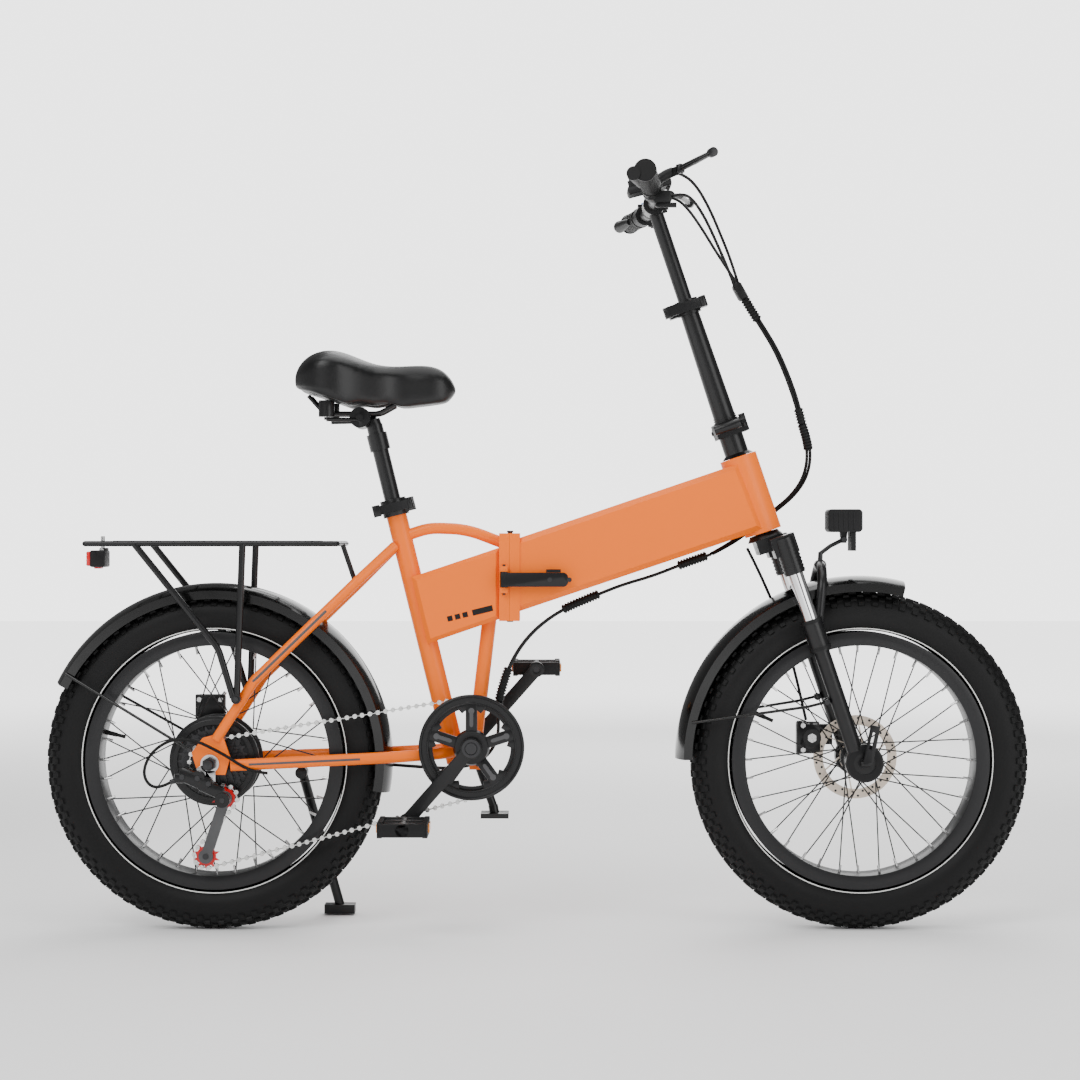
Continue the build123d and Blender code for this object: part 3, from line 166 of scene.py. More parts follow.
def surface_grain() -> bpy.types.NodeTree:
    """Make the shared effect once: drifting colour, uneven roughness and fine relief.

    Returns:
        the node group
    """
    known = bpy.data.node_groups.get("surface_grain")
    if known is not None:
        return known
    group = bpy.data.node_groups.new("surface_grain", "ShaderNodeTree")
    face = group.interface
    face.new_socket("Vector", in_out="INPUT", socket_type="NodeSocketVector")
    face.new_socket("Colour", in_out="INPUT", socket_type="NodeSocketColor")
    for label in ("Scale", "Variation", "Roughness"):
        face.new_socket(label, in_out="INPUT", socket_type="NodeSocketFloat")
    face.new_socket("Colour", in_out="OUTPUT", socket_type="NodeSocketColor")
    face.new_socket("Roughness", in_out="OUTPUT", socket_type="NodeSocketFloat")
    face.new_socket("Height", in_out="OUTPUT", socket_type="NodeSocketFloat")
    nodes, links = group.nodes, group.links
    source = nodes.new("NodeGroupInput")
    sink = nodes.new("NodeGroupOutput")
    drift = nodes.new("ShaderNodeTexNoise")
    drift.inputs["Scale"].default_value = 16.0
    drift.inputs["Detail"].default_value = 4.0
    fine = nodes.new("ShaderNodeTexNoise")
    fine.inputs["Detail"].default_value = 3.0
    amount = nodes.new("ShaderNodeMath")
    amount.operation = "MULTIPLY"
    darker = nodes.new("ShaderNodeMix")
    darker.data_type = "RGBA"
    darker.blend_type = "MULTIPLY"
    darker.inputs[7].default_value = (0.35, 0.35, 0.35, 1.0)
    uneven = nodes.new("ShaderNodeMath")
    uneven.operation = "MULTIPLY_ADD"
    uneven.inputs[1].default_value = 0.12
    level = nodes.new("ShaderNodeMath")
    level.operation = "SUBTRACT"
    level.inputs[1].default_value = 0.06
    links.new(source.outputs["Vector"], drift.inputs["Vector"])
    links.new(source.outputs["Vector"], fine.inputs["Vector"])
    links.new(source.outputs["Scale"], fine.inputs["Scale"])
    links.new(drift.outputs["Fac"], amount.inputs[0])
    links.new(source.outputs["Variation"], amount.inputs[1])
    links.new(amount.outputs[0], darker.inputs[0])
    links.new(source.outputs["Colour"], darker.inputs[6])
    links.new(drift.outputs["Fac"], uneven.inputs[0])
    links.new(source.outputs["Roughness"], level.inputs[0])
    links.new(level.outputs[0], uneven.inputs[2])
    links.new(darker.outputs[2], sink.inputs["Colour"])
    links.new(uneven.outputs[0], sink.inputs["Roughness"])
    links.new(fine.outputs["Fac"], sink.inputs["Height"])
    return group


ORANGE = Finish("orange_satin", (0.86, 0.150, 0.0), 0.38, 0.0, 0.05, 0.05, 2600.0, 0.05, 0.22)
STRIPE_GREY = Finish("grey_stripe", (0.07, 0.07, 0.07), 0.5, 0.2, 0.0, 0.2)
SATIN_BLACK = Finish("satin_black", (0.0055, 0.0055, 0.006), 0.34, 0.0, 0.06, 0.3, 1800.0, 0.05, 0.32)
GLOSS_BLACK = Finish("piano_black", (0.0022, 0.0022, 0.0022), 0.15, 0.0, 0.10, 0.2, 300.0, 0.01, 0.35)
MATT_PLASTIC = Finish("matt_plastic", (0.0055, 0.0055, 0.006), 0.50, 0.0, 0.0, 0.3, 1500.0, 0.06, 0.25)
TYRE_RUBBER = Finish("tyre_compound", (0.0038, 0.0038, 0.004), 0.55, 0.0, 0.0, 0.35, 700.0, 0.25, 0.22)
SOFT_RUBBER = Finish("soft_rubber", (0.0040, 0.0040, 0.0040), 0.50, 0.0, 0.0, 0.3, 1200.0, 0.05, 0.22)
WALL_WHITE = Finish("wall_white", (0.78, 0.78, 0.76), 0.5, 0.0, 0.0, 0.12, 900.0, 0.1)
RIM_BLACK = Finish("rim_black", (0.016, 0.016, 0.017), 0.33, 0.3, 0.0, 0.2, 1200.0, 0.04, 0.35)
SILVER = Finish("bright_alloy", (0.62, 0.62, 0.62), 0.28, 0.9, 0.0, 0.15, 900.0, 0.04)
NICKEL = Finish("nickel_links", (0.68, 0.68, 0.67), 0.22, 0.85, 0.0, 0.2, 900.0, 0.03)
CHROME = Finish("chrome", (0.75, 0.75, 0.76), 0.07, 1.0, 0.0, 0.05, 400.0, 0.005)
ROTOR = Finish("rotor_steel", (0.72, 0.62, 0.52), 0.34, 0.7, 0.0, 0.15, 900.0, 0.05, 0.5, Pattern.BRUSHED)
DARK_STEEL = Finish("dark_steel", (0.040, 0.040, 0.042), 0.34, 0.6, 0.0, 0.3, 900.0, 0.06, 0.4)
GREY_METAL = Finish("grey_alloy", (0.085, 0.085, 0.088), 0.38, 0.5, 0.0, 0.2, 900.0, 0.05, 0.4)
SADDLE_SKIN = Finish("saddle_skin", (0.0035, 0.0035, 0.0038), 0.36, 0.0, 0.0, 0.3, 1400.0, 0.30, 0.34)
RED = Finish("red_moulding", (0.62, 0.004, 0.006), 0.30, 0.0, 0.1, 0.2, 600.0, 0.03, 0.4)
AMBER = Finish("amber_reflector", (0.90, 0.30, 0.04), 0.22, 0.0, 0.4, 0.25, 500.0, 0.2)
BLUE = Finish("blue_button", (0.16, 0.37, 0.90), 0.30, 0.0, 0.2, 0.1, 600.0, 0.03)
LENS = Finish("lamp_lens", (0.55, 0.57, 0.60), 0.12, 0.3, 0.5, 0.2, 260.0, 0.3)
SCREEN = Finish("screen", (0.02, 0.024, 0.03), 0.08, 0.0, 0.8, 0.1, 500.0, 0.01)
FLOOR = Finish("floor_paint", (0.88, 0.88, 0.88), 0.75, 0.0, 0.0, 0.02, 40.0, 0.02)


# ---------------------------------------------------------------- shape helpers
def rod(bm: bmesh.types.BMesh, start: Point, end: Point, radius: float, end_radius: float = 0.0,
        segments: int = 24) -> None:
    """Add a round or tapered bar.

    Args:
        bm: the mesh being built
        start: centre of one end
        end: centre of the other end
        radius: radius at the start
        end_radius: radius at the end, or 0 for the same
        segments: sides round the bar
    """
    a, b = Vector(start), Vector(end)
    turn = (b - a).to_track_quat("Z", "Y").to_matrix().to_4x4()
    bmesh.ops.create_cone(
        bm, cap_ends=True, cap_tris=False, segments=segments, radius1=radius,
        radius2=end_radius or radius, depth=(b - a).length, matrix=Matrix.Translation((a + b) / 2) @ turn,
    )


def brick(bm: bmesh.types.BMesh, centre: Point, size: tuple[float, float, float], turn: Matrix | None = None,
          edge: float = 0.0) -> None:
    """Add a box, its edges rounded by edge.

    Args:
        bm: the mesh being built
        centre: middle of the box
        size: its lengths
        turn: its rotation, or None
        edge: bevel width
    """
    place = Matrix.Translation(Vector(centre)) @ (turn or Matrix()) @ Matrix.Diagonal((*size, 1.0))
    made = bmesh.ops.create_cube(bm, size=1.0, matrix=place)
    if edge:
        edges = {e for v in made["verts"] for e in v.link_edges}
        bmesh.ops.bevel(bm, geom=list(edges), offset=edge, segments=2, affect="EDGES", profile=0.5,
                        material=-1)


def spun(bm: bmesh.types.BMesh, profile: Outline, x: float, z: float, steps: int = 96) -> None:
    """Turn a closed outline of (radius, y) points about an axle that runs across the bicycle.

    Args:
        bm: the mesh being built
        profile: the outline, a closed loop
        x: the axle's place
        z: the axle's height
        steps: sides round the axle
    """
    verts = [bm.verts.new((x + radius, y, z)) for radius, y in profile]
    edges = [bm.edges.new((verts[i], verts[(i + 1) % len(verts)])) for i in range(len(verts))]
    bmesh.ops.spin(bm, geom=verts + edges, cent=(x, 0.0, z), axis=(0.0, 1.0, 0.0), angle=FULL_TURN,
                   steps=steps, use_merge=True)


def band(inner: float, outer: float, low: float, high: float) -> Outline:
    """The outline of a flat ring between two radii and two faces."""
    return [(inner, low), (outer, low), (outer, high), (inner, high)]


def arc(radius: float, middle_r: float, middle_y: float, start: float, stop: float, count: int) -> Outline:
    """Points (radius, y) along an arc.

    Args:
        radius: the arc's own radius
        middle_r: distance of its centre from the axle
        middle_y: its centre's place to the left
        start: first angle in degrees, from outward towards the left
        stop: last angle in degrees
        count: number of points

    Returns:
        the points in order
    """
    points = []
    for step in range(count):
        angle = math.radians(start + (stop - start) * step / (count - 1))
        points.append((middle_r + radius * math.cos(angle), middle_y + radius * math.sin(angle)))
    return points


def toothed(bm: bmesh.types.BMesh, x: float, z: float, y: float, teeth: int, thick: float) -> None:
    """Add a toothed disc for a chain.

    Args:
        bm: the mesh being built
        x: the axle's place
        z: the axle's height
        y: middle of the disc
        teeth: number of teeth
        thick: thickness of the disc
    """
    root = teeth * PITCH / FULL_TURN - TOOTH_FOOT
    tip = root + TOOTH_HEIGHT
    facing = Matrix.Translation((x, y - thick / 2, z)) @ Matrix.Rotation(-math.pi / 2, 4, "X")
    made = bmesh.ops.create_circle(bm, cap_ends=True, segments=teeth * 4, radius=root, matrix=facing)
    middle = Vector((x, y - thick / 2, z))
    for index, vert in enumerate(made["verts"]):
        if index % 4 == 0:
            vert.co = middle + (vert.co - middle) * (tip / root)
    face = list({f for v in made["verts"] for f in v.link_faces})
    grown = bmesh.ops.extrude_face_region(bm, geom=face)
    moved = [v for v in grown["geom"] if isinstance(v, bmesh.types.BMVert)]
    bmesh.ops.translate(bm, verts=moved, vec=(0.0, thick, 0.0))


def toothed_ring(bm: bmesh.types.BMesh, x: float, z: float, y: float, teeth: int, thick: float,
                 inner: float) -> None:
    """Add an open ring with chain teeth on its rim.

    Args:
        bm: the mesh being built
        x: the axle's place
        z: the axle's height
        y: middle of the ring
        teeth: number of teeth
        thick: thickness of the ring
        inner: inner radius
    """
    root = teeth * PITCH / FULL_TURN - TOOTH_FOOT
    spun(bm, band(inner, root, y - thick / 2, y + thick / 2), x, z, teeth * 3)
    for number in range(teeth):
        angle = FULL_TURN * number / teeth
        foot = polar(x, z, root - 0.0008, angle, y)
        tip = polar(x, z, root + 0.0064, angle, y)
        made = bmesh.ops.create_cone(
            bm, cap_ends=True, cap_tris=False, segments=4, radius1=0.0044, radius2=0.0016,
            depth=(tip - foot).length, matrix=Matrix.Rotation(math.pi / 4, 4, "Z"),
        )
        squeeze = Matrix.Diagonal((thick / 0.0062, 1.0, 1.0, 1.0))
        stand = Matrix.Rotation(math.pi / 2 - angle, 4, "Y") @ Matrix.Rotation(math.pi / 2, 4, "Z")
        place = Matrix.Translation((foot + tip) / 2) @ stand @ squeeze
        bmesh.ops.transform(bm, matrix=place, verts=made["verts"])


def polar(x: float, z: float, radius: float, angle: float, y: float) -> Vector:
    """A point about an axle, its angle in radians from ahead towards the top."""
    return Vector((x + radius * math.cos(angle), y, z + radius * math.sin(angle)))


def hand(side: int) -> str:
    """The name of a side: left for 1, right for -1."""
    return "left" if side > 0 else "right"


def piece(bm: bmesh.types.BMesh, name: str, body: str, finish: Finish,
          angle: float = 38.0) -> bpy.types.Object:
    """Finish a mesh as a named piece that rides on a body.

    Args:
        bm: the mesh, freed here
        name: the piece's name
        body: the body that it rides on
        finish: its surface
        angle: edges sharper than this stay sharp, degrees

    Returns:
        the new object
    """
    bmesh.ops.recalc_face_normals(bm, faces=bm.faces)
    mesh = bpy.data.meshes.new(name)
    bm.to_mesh(mesh)
    bm.free()
    mesh.shade_smooth()
    mesh.set_sharp_from_angle(angle=math.radians(angle))
    mesh.materials.append(finish.material())
    made = bpy.data.objects.new(name, mesh)
    bpy.context.scene.collection.objects.link(made)
    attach(made, body)
    log.info("made %s on %s", name, body)
    return made


def dress(node: str, finish: Finish, edge: float = 0.0) -> None:
    """Give a CAD node its finish, and rounded edges where edge is over 0.

    Args:
        node: the CAD node
        finish: its surface
        edge: bevel width in metres
    """
    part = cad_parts[node]
    if part.material_slots:
        for place in part.material_slots:
            place.material = finish.material()
    else:
        part.data.materials.append(finish.material())
    weld = part.modifiers.new("weld", "WELD")
    weld.merge_threshold = SAME_PLACE
    if edge:
        bevel = part.modifiers.new("edges", "BEVEL")
        bevel.width = edge
        bevel.segments = 2
        bevel.limit_method = "ANGLE"
        bevel.angle_limit = math.radians(42)
    split = part.modifiers.new("split", "EDGE_SPLIT")
    split.split_angle = math.radians(34)
    part.data.shade_smooth()
    log.info("dressed %s", node)


# ---------------------------------------------------------------- wheels
@dataclass
class Wheel:
    """A spoked wheel with its fat tyre.

    Args:
        end: front or rear, the start of its pieces' names
        axle_x: the axle's place
        body: the body that it rides on
        disc_y: middle of the brake disc
        knob_rows: places of the tread rows across the tyre, degrees
        knobs_round: tread blocks in one row
        knob_height: height of a tread block
        spokes: number of spokes
        disc_arms: number of arms of the brake disc
        disc_holes: number of holes in its track
    """

    end: str
    axle_x: float
    body: str
    disc_y: float
    knob_rows: tuple[float, ...] = (-62.0, -46.0, -30.0, -12.0, 12.0, 30.0, 46.0, 62.0)
    knobs_round: int = 72
    knob_height: float = 0.0035
    spokes: int = 36
    disc_arms: int = 6
    disc_holes: int = 42

    def build(self) -> None:
        """Make every added piece of the wheel."""
        self.tyre()
        self.white_line()
        self.nipples()
        self.valve()
        self.rotor()

    def tyre(self) -> None:
        """The casing and its tread, in place of the plain tyre."""
        centre_r = TYRE_R - SECTION_R
        outer = arc(SECTION_R - self.knob_height, centre_r, 0.0, -140, 140, 30)
        inner = arc(SECTION_R - 0.006, centre_r, 0.0, 140, -140, 20)
        bm = bmesh.new()
        spun(bm, outer + inner, self.axle_x, AXLE_Z, 144)
        casing = piece(bm, self.end + "_tyre_casing", self.body, TYRE_RUBBER)
        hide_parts(self.end + "_tyre")
        bm = bmesh.new()
        for row, tilt in enumerate(self.knob_rows):
            for number in range(self.knobs_round):
                around = FULL_TURN * (number + 0.5 * (row % 2)) / self.knobs_round
                self.knob(bm, math.radians(tilt), around, abs(tilt) < 20, abs(tilt) > 60)
        piece(bm, self.end + "_tyre_tread", self.body, TYRE_RUBBER)

    def knob(self, bm: bmesh.types.BMesh, tilt: float, around: float, middle: bool, shoulder: bool) -> None:
        """One tread block.

        Args:
            bm: the mesh being built
            tilt: its place across the tyre, radians
            around: its place round the tyre, radians
            middle: whether it belongs to the centre rows
            shoulder: whether it belongs to the outermost rows
        """
        long = 0.014 if middle else 0.011
        wide = 0.0095 if middle else 0.0075
        reach = SECTION_R - self.knob_height - 0.001 - (0.0006 if shoulder else 0.0)
        turn = Matrix.Rotation(-around, 4, "Y")
        lift = Matrix.Translation((TYRE_R - SECTION_R, 0.0, 0.0)) @ Matrix.Rotation(tilt, 4, "Z")
        place = Matrix.Translation((self.axle_x, 0.0, AXLE_Z)) @ turn @ lift
        place = place @ Matrix.Translation((reach + 0.0022, 0.0, 0.0))
        made = bmesh.ops.create_cube(bm, size=1.0, matrix=Matrix.Diagonal((0.0044, wide, long, 1.0)))
        for vert in made["verts"]:
            if vert.co.x > 0.0:
                vert.co.y *= 0.78
                vert.co.z *= 0.80
        bmesh.ops.transform(bm, matrix=place, verts=made["verts"])

    def white_line(self) -> None:
        """The thin light line round each side wall."""
        for side in (-1, 1):
            bm = bmesh.new()
            middle = side * 0.0248
            spun(bm, arc(0.0011, 0.2184, middle, 0, 315, 8), self.axle_x, AXLE_Z, 144)
            piece(bm, f"{self.end}_{hand(side)}_wall_line", self.body, WALL_WHITE)

    def nipples(self) -> None:
        """The spoke nipples at the rim."""
        bm = bmesh.new()
        for number in range(self.spokes):
            side = 1 if number % 2 else -1
            lean = 1 if number % 4 < 2 else -1
            y = side * (0.008 + lean * 0.0024)
            angle = FULL_TURN * number / self.spokes
            start = polar(self.axle_x, AXLE_Z, RIM_INNER_R + 0.001, angle, y)
            end = polar(self.axle_x, AXLE_Z, RIM_INNER_R - 0.013, angle, y + side * 0.001)
            rod(bm, start, end, 0.0024, 0.0019, 8)
        piece(bm, self.end + "_nipples", self.body, SILVER)

    def valve(self) -> None:
        """The valve, at the side of the rim that faces the other wheel or the rear."""
        angle = math.pi - 0.24 if self.axle_x < 0 else math.pi - 0.42
        bm = bmesh.new()
        foot = polar(self.axle_x, AXLE_Z, RIM_INNER_R + 0.001, angle, 0.0)
        tip = polar(self.axle_x, AXLE_Z, RIM_INNER_R - 0.034, angle, 0.0)
        neck = polar(self.axle_x, AXLE_Z, RIM_INNER_R - 0.020, angle, 0.0)
        rod(bm, foot, neck, 0.0042, 0.0036, 12)
        rod(bm, neck, tip, 0.0030, 0.0030, 12)
        piece(bm, self.end + "_valve", self.body, SOFT_RUBBER)

    def rotor(self) -> None:
        """The brake disc: a drilled track on swept arms."""
        bm = bmesh.new()
        half = 0.0009
        spun(bm, band(0.054, 0.070, self.disc_y - half, self.disc_y + half), self.axle_x, AXLE_Z, 96)
        spun(bm, band(0.018, 0.027, self.disc_y - half, self.disc_y + half), self.axle_x, AXLE_Z, 48)
        for number in range(self.disc_arms):
            angle = FULL_TURN * number / self.disc_arms
            inner = polar(self.axle_x, AXLE_Z, 0.025, angle, self.disc_y)
            outer = polar(self.axle_x, AXLE_Z, 0.056, angle + 0.42, self.disc_y)
            middle = (inner + outer) / 2
            run = outer - inner
            turn = run.to_track_quat("X", "Y").to_matrix().to_4x4()
            brick(bm, middle, (run.length + 0.004, 2 * half, 0.0065), turn)
        made = piece(bm, self.end + "_rotor", self.body, ROTOR)
        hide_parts(self.end + "_brake_disc")
        bm = bmesh.new()
        for number in range(self.disc_holes):
            angle = FULL_TURN * number / self.disc_holes
            radius = 0.0585 if number % 2 else 0.0655
            near = polar(self.axle_x, AXLE_Z, radius, angle, self.disc_y - half - 0.0001)
            far = polar(self.axle_x, AXLE_Z, radius, angle, self.disc_y + half + 0.0001)
            rod(bm, near, far, 0.0021, 0.0021, 10)
        for number in range(self.disc_arms):
            angle = FULL_TURN * number / self.disc_arms
            near = polar(self.axle_x, AXLE_Z, 0.022, angle, self.disc_y - 0.002)
            far = polar(self.axle_x, AXLE_Z, 0.022, angle, self.disc_y + 0.003)
            rod(bm, near, far, 0.0026, 0.0026, 12)
        piece(bm, self.end + "_rotor_holes_and_bolts", self.body, DARK_STEEL)


@dataclass
class Motor:
    """The ribbed cover of the rear hub motor.

    Args:
        ribs: ribs on one cover
        face_y: the cover's face, from the middle
    """

    ribs: int = 30
    face_y: float = 0.032

    def build(self) -> None:
        """Make the ribs and the stepped rings on both covers."""
        bm = bmesh.new()
        for side in (-1, 1):
            y = side * self.face_y
            low, high = sorted((y - side * 0.001, y + side * 0.0022))
            spun(bm, band(0.060, 0.0665, low, high), -AXLE_X, AXLE_Z)
            spun(bm, band(0.026, 0.034, low, high), -AXLE_X, AXLE_Z)
            for number in range(self.ribs):
                angle = FULL_TURN * number / self.ribs
                middle = polar(-AXLE_X, AXLE_Z, 0.047, angle, y + side * 0.0004)
                brick(bm, middle, (0.028, 0.003, 0.0022), Matrix.Rotation(-angle, 4, "Y"), 0.0003)
        piece(bm, "motor_cover_ribs", "rear_wheel", SATIN_BLACK)


# ---------------------------------------------------------------- drivetrain
@dataclass
class Drivetrain:
    """Cogs, chain, chainring and pedals.

    Args:
        cogs: teeth of each cog, the innermost first
        cog_step: distance between two cogs
        ring_teeth: teeth of the chainring
        ring_arms: arms of the chainring and of its guard
        first_arm: the first arm's angle, degrees
        guard_y: middle of the chain guard
        wrap_r: radius of the chain's path round a pulley
        boss_y: outer face of the crank's boss
    """

    cogs: tuple[int, ...] = (28, 24, 22, 20, 18, 16, 14)
    cog_step: float = 0.0045
    ring_teeth: int = 40
    ring_arms: int = 5
    first_arm: float = 18.0
    guard_y: float = -0.0606
    wrap_r: float = 0.020
    boss_y: float = 0.082

    def build(self) -> None:
        """Make every added piece of the drivetrain."""
        self.cassette()
        self.chain()
        self.chainring()
        for side in (-1, 1):
            self.pedal(side)
            self.crank_cap(side)
        self.pulleys()

    def cassette(self) -> None:
        """The seven cogs."""
        bm = bmesh.new()
        for number, teeth in enumerate(self.cogs):
            y = CHAIN_Y + (4 - number) * self.cog_step
            toothed(bm, -AXLE_X, AXLE_Z, y, teeth, 0.0018)
        rod(bm, (-AXLE_X, -0.069, AXLE_Z), (-AXLE_X, -0.034, AXLE_Z), 0.019)
        made = piece(bm, "cog_cluster", "freewheel", DARK_STEEL)
        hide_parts("rear_freewheel")

    def chain_line(self) -> list[Vector]:
        """Evenly spaced pin places round the closed chain.

        Returns:
            the pins in order, on the chain's own plane
        """
        cog_r = self.cogs[4] * PITCH / FULL_TURN
        ring_r = self.ring_teeth * PITCH / FULL_TURN
        wheels = [(-AXLE_X, AXLE_Z, cog_r, 1), (BB_X, BB_Z, ring_r, 1),
                  (*TENSION_PULLEY, self.wrap_r, 1), (*GUIDE_PULLEY, self.wrap_r, -1)]
        touches = []
        for index, (ax, az, ar, away) in enumerate(wheels):
            bx, bz, br, bway = wheels[(index + 1) % len(wheels)]
            run = Vector((bx - ax, 0.0, bz - az))
            share = (away * ar - bway * br) / run.length
            rise = math.sqrt(1.0 - share * share)
            way = run.normalized()
            side = Vector((way.x * share - way.z * rise, 0.0, way.z * share + way.x * rise))
            leave = Vector((ax, 0.0, az)) + side * (away * ar)
            arrive = Vector((bx, 0.0, bz)) + side * (bway * br)
            touches.append((leave, arrive))
        dense = []
        for index, (leave, arrive) in enumerate(touches):
            steps = max(2, int((arrive - leave).length / 0.001))
            dense += [leave.lerp(arrive, step / steps) for step in range(steps)]
            cx, cz, radius, way = wheels[(index + 1) % len(wheels)]
            hub = Vector((cx, 0.0, cz))
            leave_next = touches[(index + 1) % len(wheels)][0]
            start = math.atan2(arrive.z - cz, arrive.x - cx)
            stop = math.atan2(leave_next.z - cz, leave_next.x - cx)
            span = (start - stop) % FULL_TURN if way > 0 else -((stop - start) % FULL_TURN)
            count = max(2, int(abs(span) * radius / 0.001))
            for step in range(count):
                angle = start - span * step / count
                dense.append(hub + Vector((math.cos(angle), 0.0, math.sin(angle))) * radius)
        lengths = [(dense[(i + 1) % len(dense)] - dense[i]).length for i in range(len(dense))]
        links = 2 * round(sum(lengths) / PITCH / 2)
        step, travelled, pins = sum(lengths) / links, 0.0, []
        for point, length in zip(dense, lengths):
            while len(pins) < links and travelled >= len(pins) * step - 1e-9:
                pins.append(point)
            travelled += length
        return pins

    def chain(self) -> None:
        """Every link of the chain, outer and inner plates in turn, with its rollers."""
        pins = self.chain_line()
        bm = bmesh.new()
        for index, pin in enumerate(pins):
            after = pins[(index + 1) % len(pins)]
            middle = (pin + after) / 2
            turn = (after - pin).to_track_quat("X", "Y").to_matrix().to_4x4()
            spread = 0.0030 if index % 2 else 0.0019
            for side in (-1, 1):
                centre = Vector((middle.x, CHAIN_Y + side * spread, middle.z))
                brick(bm, centre, (0.0112, 0.0009, 0.0052), turn)
                for joint in (pin, after):
                    near = Vector((joint.x, CHAIN_Y + side * spread - 0.00045, joint.z))
                    far = Vector((joint.x, CHAIN_Y + side * spread + 0.00045, joint.z))
                    rod(bm, near, far, 0.0038, 0.0038, 12)
            near = Vector((pin.x, CHAIN_Y - 0.0036, pin.z))
            far = Vector((pin.x, CHAIN_Y + 0.0036, pin.z))
            rod(bm, near, far, 0.0019, 0.0019, 8)
        made = piece(bm, "chain_links", "rear_frame", NICKEL)
        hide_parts("chain")

    def arm_angle(self, number: int) -> float:
        """The angle of one arm of the chainring, radians."""
        return math.radians(self.first_arm + 360 / self.ring_arms * number)

    def chainring(self) -> None:
        """The toothed ring on its arms, its guard, and the inlays."""
        bm = bmesh.new()
        toothed_ring(bm, BB_X, BB_Z, CHAIN_Y, self.ring_teeth, 0.0026, 0.0640)
        for number in range(self.ring_arms):
            angle = self.arm_angle(number)
            middle = polar(BB_X, BB_Z, 0.046, angle, CHAIN_Y)
            brick(bm, middle, (0.044, 0.0026, 0.0150), Matrix.Rotation(-angle, 4, "Y"), 0.0006)
        ring = piece(bm, "chainring_teeth", "crank", SATIN_BLACK)
        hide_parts("chainring")
        bm = bmesh.new()
        y = self.guard_y
        spun(bm, band(0.0700, 0.0865, y - 0.0018, y + 0.0018), BB_X, BB_Z)
        spun(bm, arc(0.0026, 0.0838, y - 0.0018, 0, 330, 12), BB_X, BB_Z)
        spun(bm, arc(0.0016, 0.0718, y - 0.0018, 0, 330, 12), BB_X, BB_Z)
        rod(bm, (BB_X, y - 0.0045, BB_Z), (BB_X, y + 0.0030, BB_Z), 0.027, 0.030, 48)
        for number in range(self.ring_arms):
            angle = self.arm_angle(number)
            middle = polar(BB_X, BB_Z, 0.048, angle, y)
            brick(bm, middle, (0.054, 0.0048, 0.0190), Matrix.Rotation(-angle, 4, "Y"), 0.0016)
            for lean in (-1, 1):
                foot = polar(BB_X, BB_Z, 0.0665, angle + lean * 0.21, y)
                brick(bm, foot, (0.013, 0.0040, 0.015), Matrix.Rotation(-angle - lean * 0.7, 4, "Y"), 0.0014)
        piece(bm, "chain_guard", "crank", SATIN_BLACK)
        bm = bmesh.new()
        for number in range(self.ring_arms):
            angle = self.arm_angle(number)
            small = polar(BB_X, BB_Z, 0.036, angle, y - 0.0026)
            large = polar(BB_X, BB_Z, 0.060, angle, y - 0.0026)
            rod(bm, small + Vector((0.0, 0.0006, 0.0)), small - Vector((0.0, 0.0004, 0.0)), 0.0026)
            rod(bm, large + Vector((0.0, 0.0006, 0.0)), large - Vector((0.0, 0.0004, 0.0)), 0.0050)
            middle = (small + large) / 2
            brick(bm, middle, (0.024, 0.0009, 0.0062), Matrix.Rotation(-angle, 4, "Y"))
        piece(bm, "chain_guard_inlays", "crank", GREY_METAL)

    def crank_way(self, side: int) -> Vector:
        """The direction of one crank arm."""
        way = Vector((math.cos(CRANK_TURN), 0.0, math.sin(CRANK_TURN)))
        return way if side < 0 else -way

    def crank_cap(self, side: int) -> None:
        """The boss cap and the pedal eye's nut of one crank arm.

        Args:
            side: 1 for the left arm, -1 for the right
        """
        bm = bmesh.new()
        hub = Vector((BB_X, side * self.boss_y, BB_Z))
        spun_low, spun_high = sorted((side * 0.0815, side * 0.0842))
        spun(bm, band(0.0105, 0.0150, spun_low, spun_high), BB_X, BB_Z, 48)
        rod(bm, hub - LEFT * side * 0.001, hub + LEFT * side * 0.0016, 0.0098, 0.0092, 32)
        eye = hub + self.crank_way(side) * CRANK_LENGTH
        rod(bm, eye - LEFT * side * 0.001, eye + LEFT * side * 0.0025, 0.0085, 0.0080, 6)
        piece(bm, hand(side) + "_crank_caps", "crank", DARK_STEEL)

    def pedal(self, side: int) -> None:
        """One pedal: an open cage round a barrel, with amber reflectors.

        Args:
            side: 1 for the left pedal, -1 for the right
        """
        name = hand(side)
        eye = Vector((BB_X, 0.0, BB_Z)) + self.crank_way(side) * CRANK_LENGTH
        inner, outer = side * 0.093, side * 0.187
        middle_y = (inner + outer) / 2
        bm = bmesh.new()
        for way in (-1, 1):
            centre = Vector((eye.x + way * 0.036, middle_y, eye.z))
            brick(bm, centre, (0.008, 0.090, 0.022), None, 0.002)
            for number in range(7):
                tooth = Vector((eye.x + way * 0.036, middle_y + (number - 3) * 0.0125, eye.z))
                brick(bm, tooth, (0.0085, 0.005, 0.0258), None, 0.0012)
        for y in (inner + side * 0.004, middle_y, outer - side * 0.004):
            brick(bm, (eye.x, y, eye.z), (0.074, 0.008, 0.022), None, 0.002)
        rod(bm, (eye.x, inner, eye.z), (eye.x, outer, eye.z), 0.0105)
        for number in range(4):
            y = inner + side * (0.018 + 0.020 * number)
            brick(bm, (eye.x, y, eye.z), (0.064, 0.0035, 0.018), None, 0.001)
        cage = piece(bm, name + "_pedal_cage", name + "_pedal", MATT_PLASTIC)
        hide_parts(name + "_pedal")
        bm = bmesh.new()
        axle_start = Vector((eye.x, side * 0.0685, eye.z))
        rod(bm, axle_start, (eye.x, inner + side * 0.004, eye.z), 0.0049)
        rod(bm, (eye.x, side * 0.0845, eye.z), (eye.x, side * 0.0885, eye.z), 0.0085, 0.0085, 6)
